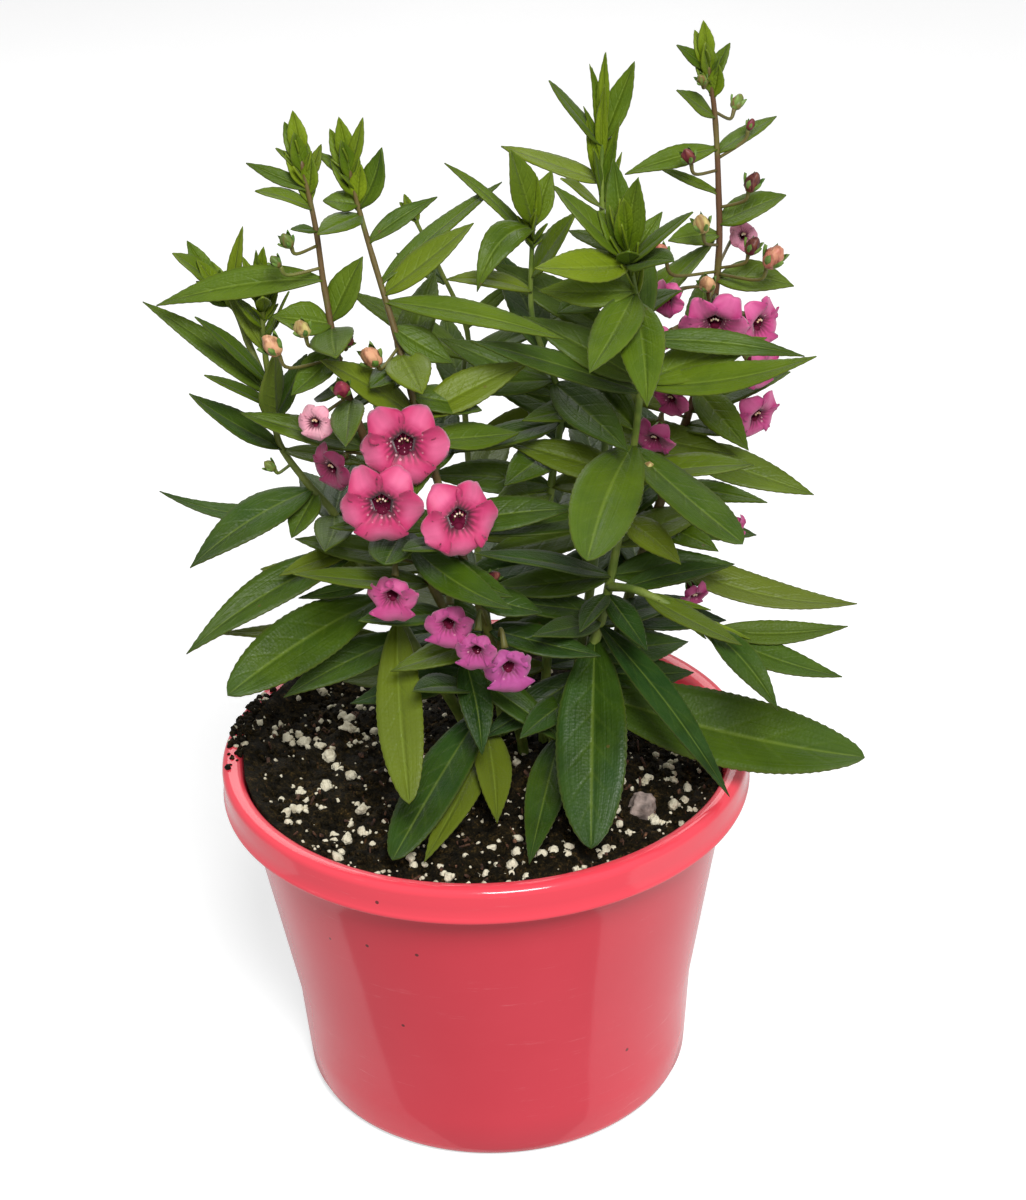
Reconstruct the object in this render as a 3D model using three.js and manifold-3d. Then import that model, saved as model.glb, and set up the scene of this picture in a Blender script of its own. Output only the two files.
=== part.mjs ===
// An angelonia in flower in a squat plastic nursery pot: the pot, the potting mix, leafy stems that stand
// in holes in the mix, and the blooms on their stalks. Millimetres, +Z up. The origin is in the middle of
// the foot of the pot.
import * as THREE from "three";
import { mergeVertices } from "three/addons/utils/BufferGeometryUtils.js";
import Module from "manifold-3d";

const wasm = await Module();
wasm.setup();

// Driving dimensions
const POT_TOP = 98.4;
const RIM_RADIUS = 70;
const POT_SEGMENTS = 32;
const DRAIN_RADIUS = 4.5;
const DRAIN_CIRCLE = 30;
const DRAIN_COUNT = 6;
const DRAIN_SIDES = 8;
const SOIL_TOP = 92;
const SOIL_GAP = 0.3;
const SOIL_BANK = 4.6;
const STEM_DEPTH = 24;
const STEM_SIDES = 4;
const CLEARANCE = 0.35;
const BLADE_THICKNESS = 1.0;
const BLADE_ARCH = 0.02;
const BLADE_FACING = new THREE.Vector3(0, -0.5, 1);
const PEDICEL_RADIUS = 0.65;
const CALYX_RADIUS = 1.2;
const BUD_RADIUS = 2.25;
const PETAL_THICKNESS = 0.8;
const PERLITE_COUNT = 10;

// The plant is laid out as it is seen from the front: an eye in front of the pot and above it looks down at
// a point on the pot's axis. A place is given by how far across and up it is seen from that point, measured
// in the upright plane of sight through it, and by how far behind the pot's axis it lies.
const EYE_DISTANCE = 700;
const EYE_PITCH = THREE.MathUtils.degToRad(31.8);
const EYE_ROLL = THREE.MathUtils.degToRad(-2.6);
const AIM_HEIGHT = 90;
const SIGHT_UP = new THREE.Vector3(0, Math.sin(EYE_PITCH), Math.cos(EYE_PITCH));
const SIGHT_BACK = new THREE.Vector3(0, -Math.cos(EYE_PITCH), Math.sin(EYE_PITCH));
const EYE = new THREE.Vector3(0, 0, AIM_HEIGHT).addScaledVector(SIGHT_BACK, EYE_DISTANCE);
const UP = new THREE.Vector3(0, 0, 1);

function seen(across, up, behind) {
  const x = across * Math.cos(EYE_ROLL) - up * Math.sin(EYE_ROLL);
  const y = across * Math.sin(EYE_ROLL) + up * Math.cos(EYE_ROLL);
  const ray = new THREE.Vector3(x, 0, 0).addScaledVector(SIGHT_UP, y);
  ray.addScaledVector(SIGHT_BACK, -EYE_DISTANCE);
  return EYE.clone().addScaledVector(ray, (behind - EYE.y) / ray.y);
}

function seenUp(point) {
  const q = point.clone().sub(EYE);
  const scale = -EYE_DISTANCE / q.dot(SIGHT_BACK);
  return (-q.x * Math.sin(EYE_ROLL) + q.dot(SIGHT_UP) * Math.cos(EYE_ROLL)) * scale;
}

// Each shoot has the place where it leaves the soil, the places its stem passes, and its girth at the soil.
// A leaf is [height seen where it leaves the stem, its tip across, up, behind, its width, and its bend
// where that isn't the usual one]. A bud has its radius instead of the width. An apex is [leaves, length,
// width, spread]. A fill is [height seen from, height to, spacing, length, width] of the plain pairs of
// leaves on the sides and the back of the stem. A bloom is [height seen at the stem, its throat across,
// up, behind, turned right, tilted up, width].
const SHOOTS = [
  {
    name: "left_spire",
    root: [3, -6],
    girth: 1.7,
    path: [[-7, 34, -12], [-21, 62, -18], [-33, 90, -18], [-39, 108, -16], [-43, 128, -12],
      [-45.5, 145, -10], [-49.7, 164, -7.7]],
    apex: [7, 10.5, 4.4, 0.55],
    leaves: [[160, -56, 166, -8, 2.4], [155, -64, 162, -6, 3.8], [150, -61, 156, -14, 6, 0.1],
      [157, -44, 167, -6, 3.2], [144, -52, 144.5, -14, 2.8], [131, -88, 124, -8, 8, 0.06],
      [120, -33, 137, -12, 8], [119, -57, 121, -18, 8.5], [118, -45, 110, -38, 10.5],
      [99, -37.5, 86.5, -46, 8], [64, -27, 55, -40, 11.5], [60, 7, 43, -47, 9.5, -0.06],
      [50, -46, 50, -46, 8],
      [30, -1, 4, -32, 8.5], [16, -25, -24, -52, 14], [12, 3, -14, -42, 9.5], [10, -17, -21, -54, 9],
      [109, -48, 104, 8, 8], [78, -16, 92, 14, 9], [42, -34, 40, -28, 9.5], [22, -20, 18, -38, 9],
      [112, -52, 100, -26, 8], [102, -46, 99, -6, 7]],
    fill: [26, 100, 15, 32, 9],
    buds: [[140, -53, 141, -18, 1.9], [134, -56, 135.5, -16, 1.5], [115, -49, 117.5, -27, 2.2],
      [110, -57, 113, -26, 2.7], [106, -38.5, 101.5, -28, 2.3], [116.4, -36.6, 114, -21, 1.4]],
    blooms: [[100, -45.5, 93, -25, -20, 5, 10], [84, -41, 81, -24, -40, -10, 13],
      [82, -22, 87.5, -31, 5, 0, 22], [70, -27.8, 71.5, -35, -6, -3, 21.5],
      [55, -25, 47, -32, -15, -42, 12]],
  },
  {
    name: "left_twin",
    root: [10, 2],
    girth: 1.6,
    path: [[1, 36, -14], [-8, 62, -22], [-17, 90, -19], [-24, 116, -12], [-30, 136, -7], [-34, 150, -5],
      [-37, 162, -4]],
    apex: [7, 11, 4.2, 0.6],
    leaves: [[158, -45, 165, 0, 3.6], [150, -28, 166, -6, 6.5, -0.1], [160, -33, 174, -4, 3.4],
      [151, -43.5, 152, -6, 6.5], [148, -45, 143, -18, 7.5], [141, -13, 153, 0, 4.6],
      [130, 4.3, 157, 14, 5.2, 0.06], [127, -3.4, 146, -8, 8.6], [125, 21, 115, -30, 7.2],
      [108, -31, 102, -26, 8], [111, -17, 100.5, -34, 10.5], [118, -9, 108, -16, 8],
      [105, -38, 96, -10, 8], [88, 9, 90, -8, 8], [60, -18, 58, -44, 9],
      [90, -30, 96, 18, 9], [92, -19, 75, -34, 9], [47, 15, 42, -24, 9], [36, -28, 30, -20, 9],
      [100, -1, 96, -16, 9]],
    fill: [24, 110, 14, 30, 9.5],
    buds: [[113, -30.5, 110, -22, 2.8], [56, 2, 51.5, -27, 1.8]],
    blooms: [[74, -7.5, 67.5, -33, 22, 4, 21.5], [46, -10, 39.5, -31, -8, -42, 12],
      [38, -2.5, 32.5, -33, -10, -44, 10.5], [30, 6, 28, -28, 12, -40, 12.5]],
  },
  {
    name: "left_low",
    root: [-3, 3],
    girth: 1.8,
    path: [[-19, 33, -6], [-30, 49, -8], [-36, 60, -8], [-41, 69, -7], [-48, 77, -6], [-55, 87, -5],
      [-57, 98, -6], [-59, 112, -6], [-60, 127, -6]],
    apex: [6, 12, 3.6, 1],
    leaves: [[112, -69, 127, -2, 4.2], [100, -91.5, 125, -2, 6.6], [103, -77.5, 121, -12, 5],
      [97, -75, 105.5, -18, 5.6], [94, -48, 111, -12, 7], [93, -58, 112, -20, 8], [120, -64, 135, -12, 3],
      [112.7, -55, 131, -14, 5], [86, -79, 100.5, -12, 7.6, -0.1], [85.4, -31, 84, -20, 4.8],
      [72, -87, 74.5, -2, 5.4, -0.26], [75, -79, 54, -28, 11, 0.08], [68, -43, 58.5, -36, 9.5],
      [58, -80, 31, -32, 10.5, 0.12], [59, -55, 56, -22, 5.4], [50, -50, 46, -16, 4],
      [32, -71.5, 36.5, -14, 7, 0.05], [46, -69, 20, -38, 15, 0.07], [36, -54, 19.5, -26, 9.5],
      [40, -20.5, -9, -50, 11.5], [66, -50, 80, 26, 9], [74, -52, 62, -16, 8]],
    fill: [26, 70, 14, 26, 9],
    buds: [[82, -57.5, 81, -8, 1.6]],
    blooms: [],
    branch: {
      at: 99,
      path: [[-63, 113, -2], [-67, 123, 0], [-73, 131, 2]],
      apex: [6, 11, 4.4, 0.6],
      leaves: [[124, -65, 145, 2, 3.6], [129, -83.5, 138, -2, 7]],
    },
  },
  {
    name: "back_left",
    root: [5, 12],
    girth: 1.4,
    path: [[0, 42, 18], [-4, 75, 24], [-6, 104, 28], [-5, 117, 28], [-13, 135, 30], [-20, 149, 30]],
    apex: [3, 5, 2.2, 1],
    leaves: [[118, 9, 131, 36, 4], [130, -24, 138, 44, 5], [100, -16, 99, 10, 7]],
    fill: [26, 112, 12, 34, 10],
    buds: [],
    blooms: [],
  },
  {
    name: "back_young",
    root: [16, 9],
    girth: 1.6,
    path: [[17, 45, 9], [17, 72, 10], [20, 97, 8], [15, 112, 8], [12, 124, 8], [12.5, 146, 6]],
    apex: [3, 12, 3.8, 0.56],
    leaves: [[146, 6.5, 165.5, 0, 8.4], [145.4, 17.5, 160, 10, 6.4], [141, -11, 162, 10, 4.2, 0.05],
      [144.6, -2.5, 127.5, -10, 8, 0.5], [128, -10.5, 131, -2, 6.5, 0.1], [132, 24, 149, -2, 8],
      [104, -14, 102, -6, 8], [93, -9, 88, -14, 8.5], [103.4, 38, 85, -22, 11], [86, 5, 76, -14, 9.5],
      [56, -9, 50, -6, 9], [74, 2, 71, -4, 9]],
    fill: [28, 112, 12, 33, 10],
    buds: [],
    blooms: [],
  },
  {
    name: "tall_centre",
    root: [23, 8],
    girth: 1.7,
    path: [[28, 50, 9], [32, 90, 12], [33, 120, 12], [31, 148, 12], [31, 170, 12]],
    apex: [6, 19.5, 4.8, 0.34],
    leaves: [[167, 17, 184, 8, 6, -0.06], [167.7, 39.5, 189, 14, 6, -0.06], [157, 4, 166.5, 18, 7.5],
      [150, 20, 158, 0, 5], [118, 52, 128, -4, 8], [98, 10, 96, -6, 9], [128, 19, 122, 2, 8.5]],
    fill: [26, 124, 13, 34, 10.5],
    buds: [],
    blooms: [],
  },
  {
    name: "front_star",
    root: [18, -4],
    girth: 2,
    path: [[25, 22, -5], [30, 38, -5], [33, 50, -5], [38, 78, -7], [41, 100, -10], [41, 120, -14],
      [37.5, 139, -19]],
    apex: [3, 14, 5.6, 1],
    leaves: [[137, 34, 163, -14, 7], [137.7, 40.5, 158, -24, 7], [135.4, 55, 149, -32, 7],
      [136, 47, 149, -14, 5], [136.6, 18, 156, -18, 7.6], [134.8, 13, 134, -32, 9.5], [135, 50, 136, -38, 8],
      [128, 14, 128, -16, 8.5], [127.4, 27.5, 106, -42, 11], [125, 43, 97, -48, 10.5],
      [115, 85, 110.5, -18, 6.4], [103, 88, 110.5, -30, 8.5, -0.1], [101, -4, 114.5, -20, 8.8],
      [87, 27, 56, -54, 16], [86, 68.5, 60.5, -44, 12.5], [70, -5, 63, -22, 9.4], [52, -3, 58, -36, 8.8],
      [47, 25, 37, -26, 6], [40, 12, 33, -30, 7.5], [47, 43, 32, -30, 7], [35, 28, -21, -52, 18],
      [22, 101, 3.5, -36, 20, -0.1], [39, 65, -7, -56, 8], [20, 9, 8.5, -30, 8],
      [9, 11.5, -25, -53, 10], [14, 34, 2, -34, 9], [60, 56, 72, 20, 10], [30, 46, 38, 20, 11],
      [68, 52, 55, -28, 7.5], [42, 2, 44, -16, 9], [138, 22, 144, -6, 7]],
    fill: [26, 122, 13, 32, 10],
    buds: [[80, 43, 80, -14, 2.2]],
    blooms: [],
    branch: {
      at: 49,
      path: [[40, 48, -14], [50, 43.5, -20], [62, 36.5, -25]],
      apex: [2, 16, 4, 1],
      leaves: [[48.5, 64.5, 54.5, -16, 6.4], [37.5, 96.5, 38.5, -32, 6.4, -0.1],
        [37, 95, 25, -42, 8, -0.08],
        [38, 78, 16, -46, 7.4, 0.12], [47, 70, 34.5, -34, 7]],
    },
  },
  {
    name: "right_raceme",
    root: [29, 4],
    girth: 1.7,
    path: [[38, 46, 10], [46, 70, 12], [53, 92, 13], [59, 112, 13], [62, 136, 13], [62, 155, 14],
      [61, 175, 16], [59, 189, 16]],
    apex: [6, 10, 4, 0.5],
    leaves: [[187, 51, 193.5, 14, 3.6], [183, 65, 194, 18, 4.2], [174.4, 51, 181.5, 10, 5.4],
      [165, 77.5, 174.5, 20, 5.6], [166, 37, 159, 6, 5.6, 0.08], [154, 45, 161.5, 22, 2.6],
      [146, 80, 153.5, 12, 9], [143, 50, 138, 6, 6.6], [131, 82, 128.5, 8, 9.4, 0.1],
      [86, 87.5, 73.5, 0, 11], [76, 75, 71.5, -8, 6], [60, 99, 44.5, -6, 11, -0.12],
      [102, 72, 86, -8, 9], [92, 66, 90, 2, 7], [66, 62, 58.5, -2, 8]],
    fill: [26, 114, 14, 28, 9.5],
    buds: [[185, 57.5, 184, 10, 1.5], [175.6, 67, 178, 24, 1.8], [160, 54, 163.5, 4, 1.9],
      [163, 70.5, 172, 14, 1.3], [150, 71, 156.5, 8, 2.3], [140, 57.5, 145.5, 2, 2.3],
      [133, 47, 138, 0, 2], [132.4, 76.5, 136.5, 2, 2.9], [133.8, 71, 139.5, 8, 2.2], [130, 59, 129.5, -2, 2.2]],
    blooms: [[126, 61, 120, -3, -8, -24, 18], [124, 72.5, 119.5, 4.5, 40, -6, 15.5],
      [116, 73, 107.5, -1, 36, -14, 13], [134, 68.5, 142.5, 20, 20, 30, 8], [129.4, 48.5, 126, 5, -40, 0, 10],
      [111.4, 46, 115.5, 0, -50, 0, 8], [106, 50, 107.5, 4, -40, -5, 8], [100, 49.5, 99.5, 3, -38, -15, 11],
      [94, 45, 89, 1, -25, -28, 12], [96, 72, 95, 6, 36, -20, 15], [65.4, 67, 65, 8, 50, -5, 7],
      [52, 55.5, 47, -2, 20, -30, 8.5]],
  },
];

// Solids
function solidOf(geometry) {
  const bare = geometry.clone();
  bare.deleteAttribute("normal");
  bare.deleteAttribute("uv");
  const merged = mergeVertices(bare, 1e-4);
  const index = [];
  for (let i = 0; i < merged.index.count; i += 3) {
    const [a, b, c] = [0, 1, 2].map((k) => merged.index.getX(i + k));
    if (a !== b && b !== c && c !== a) index.push(a, b, c);
  }
  return new wasm.Manifold(
    new wasm.Mesh({
      numProp: 3,
      vertProperties: merged.attributes.position.array,
      triVerts: new Uint32Array(index),
    }),
  );
}

function geometryOf(solid) {
  const mesh = solid.getMesh();
  const geometry = new THREE.BufferGeometry();
  geometry.setAttribute("position", new THREE.BufferAttribute(mesh.vertProperties, 3));
  geometry.setIndex(new THREE.BufferAttribute(mesh.triVerts, 1));
  geometry.computeVertexNormals();
  return geometry;
}

// Edges shorter than this, left where thin solids cross, are drawn together.
const SHORTEST_EDGE = 0.004;

const joined = (solids) => solids.reduce((whole, piece) => whole.add(piece)).simplify(SHORTEST_EDGE);

// A cylinder between heights 0 and 1, with each of its points moved to a place of its own.
function shaped(sides, steps, move) {
  const geometry = new THREE.CylinderGeometry(1, 1, 1, sides, steps).translate(0, 0.5, 0);
  const position = geometry.attributes.position;
  for (let i = 0; i < position.count; i += 1) {
    const [x, y, z] = [position.getX(i), position.getY(i), position.getZ(i)];
    const moved = move(x, Math.round(y * steps), z);
    position.setXYZ(i, moved.x, moved.y, moved.z);
  }
  return solidOf(geometry);
}

// A stalk through a row of points, from one radius to another.
function stalk(points, sides, startRadius, endRadius) {
  const last = points.length - 1;
  return shaped(sides, last, (x, step, z) => {
    const along = points[Math.min(step + 1, last)].clone().sub(points[Math.max(step - 1, 0)]).normalize();
    const side = new THREE.Vector3().crossVectors(along, new THREE.Vector3(0, 1, 0)).normalize();
    const other = new THREE.Vector3().crossVectors(side, along);
    const radius = THREE.MathUtils.lerp(startRadius, endRadius, step / last);
    return points[step].clone().addScaledVector(side, radius * x).addScaledVector(other, radius * z);
  });
}

// A lance-shaped blade with a keel for its midrib, that arches from its base to its tip.
const BLADE_STATIONS = [[0, 0], [0.33, 0.96], [0.67, 0.8]];
const BROAD_STATIONS = [[0, 0], [0.28, 0.92], [0.76, 0.86]];
const SIMPLE_STATIONS = [[0, 0], [0.4, 1]];
const BRACT_WIDTH = 5;
const BROAD_WIDTH = 11;
const BLADE_FOOT = 0.5;

function stationsOf(width, simple) {
  if (simple || width < BRACT_WIDTH) return SIMPLE_STATIONS;
  return width > BROAD_WIDTH ? BROAD_STATIONS : BLADE_STATIONS;
}

// The blade is a cylinder of three sides, two of them its edges and the third its keel, pressed flat.
const EDGE_X = Math.sin((2 * Math.PI) / 3);
const KEEL_RISE = 1.5;

function blade(base, tip, [width, bend = BLADE_ARCH, simple = false], grow = 0, outer = false) {
  const chord = tip.clone().sub(base);
  const across = new THREE.Vector3().crossVectors(chord, BLADE_FACING).normalize();
  const level = new THREE.Vector3().crossVectors(chord, UP).normalize();
  const arch = new THREE.Vector3().crossVectors(level, chord).multiplyScalar(bend);
  const rib = new THREE.QuadraticBezierCurve3(base, base.clone().lerp(tip, 0.5).add(arch), tip);
  const stations = stationsOf(width, simple).slice(outer ? 1 : 0);
  const end = tip.clone().addScaledVector(chord, grow / chord.length());
  return shaped(3, stations.length, (x, step, z) => {
    if (step === stations.length) return end.clone();
    const [share, fullness] = stations[step];
    const normal = new THREE.Vector3().crossVectors(across, rib.getTangent(share));
    const half = Math.max((width / 2) * fullness, BLADE_FOOT) + grow;
    const depth = ((z + 0.5) / KEEL_RISE) * (BLADE_THICKNESS + 2 * grow) - grow;
    return rib.getPoint(share).addScaledVector(across, (-half * x) / EDGE_X).addScaledVector(normal, -depth);
  });
}

// Where a leaf meets what is already there, it is turned and lifted in small steps until it is clear.
const NUDGE_STEP = 5;
const NUDGE_STEPS = 8;
const NUDGE_WAYS = [[1, 0], [-1, 0], [0, 1], [0, -1], [1, 1], [-1, 1], [1, -1], [-1, -1]];
const NUDGES = [[0, 0]];
for (let step = 1; step <= NUDGE_STEPS; step += 1)
  for (const [turn, lift] of NUDGE_WAYS) NUDGES.push([turn * step * NUDGE_STEP, lift * step * NUDGE_STEP]);

function nudged(base, tip, [turn, lift]) {
  const chord = tip.clone().sub(base);
  const flat = Math.hypot(chord.x, chord.y);
  const heading = Math.atan2(chord.y, chord.x) + THREE.MathUtils.degToRad(turn);
  const rise = Math.atan2(chord.z, flat) + THREE.MathUtils.degToRad(lift);
  const length = chord.length();
  return new THREE.Vector3(
    base.x + length * Math.cos(rise) * Math.cos(heading),
    base.y + length * Math.cos(rise) * Math.sin(heading),
    base.z + length * Math.sin(rise),
  );
}

const placed = [];

function place(node, solid) {
  placed.push({ node, solid, box: solid.boundingBox() });
}

function meets(solid, skipNode) {
  const box = solid.boundingBox();
  return placed.some(
    (other) =>
      other.node !== skipNode &&
      [0, 1, 2].every((k) => other.box.min[k] < box.max[k] && other.box.max[k] > box.min[k]) &&
      !solid.intersect(other.solid).isEmpty(),
  );
}

function clearLeaf(node, base, tip, shape, crowded) {
  for (const nudge of NUDGES) {
    const end = nudged(base, tip, nudge);
    const whole = blade(base, end, shape, CLEARANCE);
    if (meets(whole, node)) continue;
    if (!crowded && meets(blade(base, end, shape, CLEARANCE, true))) continue;
    return blade(base, end, shape);
  }
  return null;
}

// The pot: one thin moulding with a turned-down lip, a flat foot and drain holes in its floor.
const POT_PROFILE = [
  [0, 0], [49.5, 0], [52.6, 3.6], [54.3, 28], [63, 80], [64.4, 89.4], [69.6, 88.9], [RIM_RADIUS, 96.9],
  [68.4, POT_TOP], [65.6, POT_TOP], [62.6, 90], [61.3, 80], [52.6, 28], [51, 4.4], [49.4, 2.2], [0, 2.2],
];

function turned(profile, segments) {
  const points = profile.map(([radius, height]) => new THREE.Vector2(radius, height));
  return new THREE.LatheGeometry(points, segments).rotateX(Math.PI / 2);
}

function upright(radius, low, high, x, y, sides) {
  const geometry = new THREE.CylinderGeometry(radius, radius, high - low, sides);
  return solidOf(geometry.rotateX(Math.PI / 2).translate(x, y, (low + high) / 2));
}

function makePot() {
  const drains = [];
  for (let i = 0; i < DRAIN_COUNT; i += 1) {
    const angle = (2 * Math.PI * (i + 0.5)) / DRAIN_COUNT;
    const [x, y] = [DRAIN_CIRCLE * Math.cos(angle), DRAIN_CIRCLE * Math.sin(angle)];
    drains.push(upright(DRAIN_RADIUS, -1, 5, x, y, DRAIN_SIDES));
  }
  return solidOf(turned(POT_PROFILE, POT_SEGMENTS)).subtract(joined(drains));
}

// The potting mix fills the pot, with an uneven top that is banked up against the wall at the left, and
// grains of perlite stand half out of it.
const CROWN = [13, 2];
const SOIL_RADIUS = 62.3;
const SOIL_DIP = 1;
const SOIL_RINGS = [50, 36, 21, 9];

function soilHeight(x, y) {
  const mound = 2.2 * Math.exp(-((x - CROWN[0]) ** 2 + (y - CROWN[1]) ** 2) / 500);
  const waves = 0.9 * Math.sin(0.23 * x + 1) * Math.cos(0.19 * y - 0.6);
  const lumps = waves + 0.6 * Math.sin(0.47 * x - 0.37 * y);
  const bank = SOIL_BANK * Math.max(0, (0.3 * y - 0.8 * x) / SOIL_RADIUS) ** 2;
  return SOIL_TOP + mound + lumps + bank;
}

// Random draws come from one seeded sequence.
let seed = 4711;
function draw() {
  seed = (seed * 16807) % 2147483647;
  return seed / 2147483647;
}

function makeSoil(holes) {
  const edge = [SOIL_RADIUS, SOIL_TOP - SOIL_DIP];
  const wall = [[0, 2.5], [49.2, 2.5], [50.7, 4.6], [52.3, 28], [61, 80], edge];
  const top = SOIL_RINGS.map((radius) => [radius, SOIL_TOP]);
  const geometry = turned([...wall, ...top, [0, SOIL_TOP]], POT_SEGMENTS);
  const position = geometry.attributes.position;
  for (let i = 0; i < position.count; i += 1) {
    const [x, y, z] = [position.getX(i), position.getY(i), position.getZ(i)];
    if (z > SOIL_TOP - SOIL_GAP) position.setZ(i, soilHeight(x, y));
    else if (z > SOIL_TOP - 2 * SOIL_DIP) position.setZ(i, z + soilHeight(x, y) - SOIL_TOP);
  }
  let soil = solidOf(geometry);
  for (let i = 0; i < PERLITE_COUNT; i += 1) {
    const radius = 57 * Math.sqrt(draw());
    const angle = 2 * Math.PI * draw();
    const size = 1.3 + 0.9 * draw();
    const [x, y] = [radius * Math.cos(angle), radius * Math.sin(angle)];
    const grain = new THREE.OctahedronGeometry(size, 0).rotateX(draw()).rotateZ(3 * draw());
    soil = soil.add(solidOf(grain.translate(x, y, soilHeight(x, y) + 0.2)));
  }
  return soil.subtract(joined(holes));
}

// A stem goes straight up out of its hole and then through the places it is seen to pass.
function stemPoints({ root: [x, y], path }) {
  const foot = [-STEM_DEPTH, 5].map((height) => new THREE.Vector3(x, y, SOIL_TOP + height));
  return [...foot, ...path.map((place) => seen(...place))];
}

// The place on a stem that is seen at a height.
function onStem(points, up) {
  const heights = points.map(seenUp);
  const next = heights.findIndex((height, i) => i > 0 && (height - up) * (heights[i - 1] - up) <= 0);
  if (next < 0) return points[points.length - 1].clone();
  const share = (up - heights[next - 1]) / (heights[next] - heights[next - 1]);
  return points[next - 1].clone().lerp(points[next], share);
}

function stemHole({ root: [x, y], girth }) {
  const radius = (girth + SOIL_GAP) / Math.cos(Math.PI / 6);
  return upright(radius, SOIL_TOP - STEM_DEPTH - girth, SOIL_TOP + 12, x, y, 6);
}

const GOLDEN_TURN = THREE.MathUtils.degToRad(137.5);

// The young leaves round the end of a stem, the inner ones the most upright.
function apexTips(points, [count, length, , spread]) {
  const [below, end] = points.slice(-2);
  const along = end.clone().sub(below).normalize();
  const side = new THREE.Vector3(1, 0, 0).addScaledVector(along, -along.x).normalize();
  const other = new THREE.Vector3().crossVectors(along, side);
  return Array.from({ length: count }, (_, i) => {
    const turn = i * GOLDEN_TURN;
    const lean = THREE.MathUtils.degToRad(i === 0 ? 6 * spread : (24 + (20 * i) / count) * spread);
    const base = end.clone().addScaledVector(along, (-i * length) / 6 - 0.3);
    const out = side.clone().multiplyScalar(Math.cos(turn)).addScaledVector(other, Math.sin(turn));
    const reach = length * (1 - (0.2 * i) / count);
    const tip = base.clone().addScaledVector(along, reach * Math.cos(lean));
    return [base, tip.addScaledVector(out, reach * Math.sin(lean))];
  });
}

// Plain leaves stand in pairs, each pair square to the one below. None of them points at the front.
const FRONT_SHARE = -0.5;

function fillTips(points, [from, to, spacing, length], offset) {
  const tips = [];
  for (let up = from, node = offset; up <= to; up += spacing, node += 1) {
    const base = onStem(points, up);
    const rise = THREE.MathUtils.degToRad(THREE.MathUtils.mapLinear(up, 20, 140, -16, 42));
    for (const half of [0, Math.PI]) {
      const turn = half + (node * Math.PI) / 2 + 0.35 * Math.sin(2.4 * node);
      if (Math.sin(turn) < FRONT_SHARE) continue;
      const flat = length * Math.cos(rise);
      const tip = new THREE.Vector3(flat * Math.cos(turn), flat * Math.sin(turn), length * Math.sin(rise));
      tips.push([base, tip.add(base)]);
    }
  }
  return tips;
}

function leavesOf(points, { leaves, fill, apex }, offset = 0) {
  const list = [];
  for (const [at, across, up, behind, ...shape] of leaves)
    list.push([onStem(points, at), seen(across, up, behind), shape, false]);
  for (const [base, tip] of apexTips(points, apex)) list.push([base, tip, [apex[2]], true]);
  if (!fill) return list;
  const plain = [fill[4], BLADE_ARCH, true];
  for (const [base, tip] of fillTips(points, fill, offset)) list.push([base, tip, plain, false]);
  return list;
}

// A thin stalk that leaves a stem and turns to end in line with what it bears.
function pedicel(start, end, look, endRadius) {
  const knee = end.clone().addScaledVector(look, -0.3 * start.distanceTo(end));
  return stalk([start, knee, end], 3, PEDICEL_RADIUS, endRadius);
}

// A bloom has five broad lobes about an open throat, in one piece with the short funnel behind them.
const LOBES = 5;
const POINTS_PER_LOBE = 3;
const NOTCH_REACH = 0.74;
const FUNNEL_LENGTH = 4.2;

function facing(turn, tilt) {
  const [t, e] = [THREE.MathUtils.degToRad(turn), THREE.MathUtils.degToRad(tilt)];
  return new THREE.Vector3(Math.sin(t) * Math.cos(e), -Math.cos(t) * Math.cos(e), Math.sin(e));
}

function makeBloom(throat, turn, tilt, width) {
  const half = width / 2;
  const profile = [[0, -FUNNEL_LENGTH], [0.4 * half, -PETAL_THICKNESS - 0.3], [half, -0.08 * half],
    [0.34 * half, 0], [0, -FUNNEL_LENGTH / 2]];
  const geometry = turned(profile, LOBES * POINTS_PER_LOBE);
  const position = geometry.attributes.position;
  for (let i = 0; i < position.count; i += 1) {
    const [x, y] = [position.getX(i), position.getY(i)];
    const notch = Math.abs(Math.cos((LOBES * Math.atan2(x, -y)) / 2)) > 0.9;
    if (Math.hypot(x, y) > 0.9 * half && notch) {
      position.setX(i, x * NOTCH_REACH);
      position.setY(i, y * NOTCH_REACH);
    }
  }
  const look = facing(turn, tilt);
  const left = new THREE.Vector3().crossVectors(look, UP).normalize();
  const down = new THREE.Vector3().crossVectors(look, left);
  const pose = new THREE.Matrix4().makeBasis(left, down, look).setPosition(throat);
  return solidOf(geometry.applyMatrix4(pose));
}

const BLOOM_SEAT = 0.3;

// Everything is placed in turn: what is placed first stays, and leaves make room for it.
const green = new THREE.MeshStandardMaterial({ color: 0x4c7a1f, roughness: 0.5, metalness: 0 });
const pink = new THREE.MeshStandardMaterial({ color: 0xc2407a, roughness: 0.6, metalness: 0 });
const coral = new THREE.MeshStandardMaterial({ color: 0xe0485a, roughness: 0.35, metalness: 0 });
const peat = new THREE.MeshStandardMaterial({ color: 0x1f1812, roughness: 0.95, metalness: 0 });

const plant = new THREE.Group();

function addMesh(name, solid, material) {
  const mesh = new THREE.Mesh(geometryOf(solid), material);
  mesh.name = name;
  plant.add(mesh);
}

const grown = SHOOTS.map((shoot) => {
  const stem = stemPoints(shoot);
  const pieces = [stalk(stem, STEM_SIDES, shoot.girth, 0.36 * shoot.girth)];
  if (!shoot.branch) return { shoot, stem, branch: null, pieces };
  const branch = [onStem(stem, shoot.branch.at), ...shoot.branch.path.map((place) => seen(...place))];
  pieces.push(stalk(branch, STEM_SIDES, 0.6 * shoot.girth, 0.4 * shoot.girth));
  return { shoot, stem, branch, pieces };
});

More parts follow.
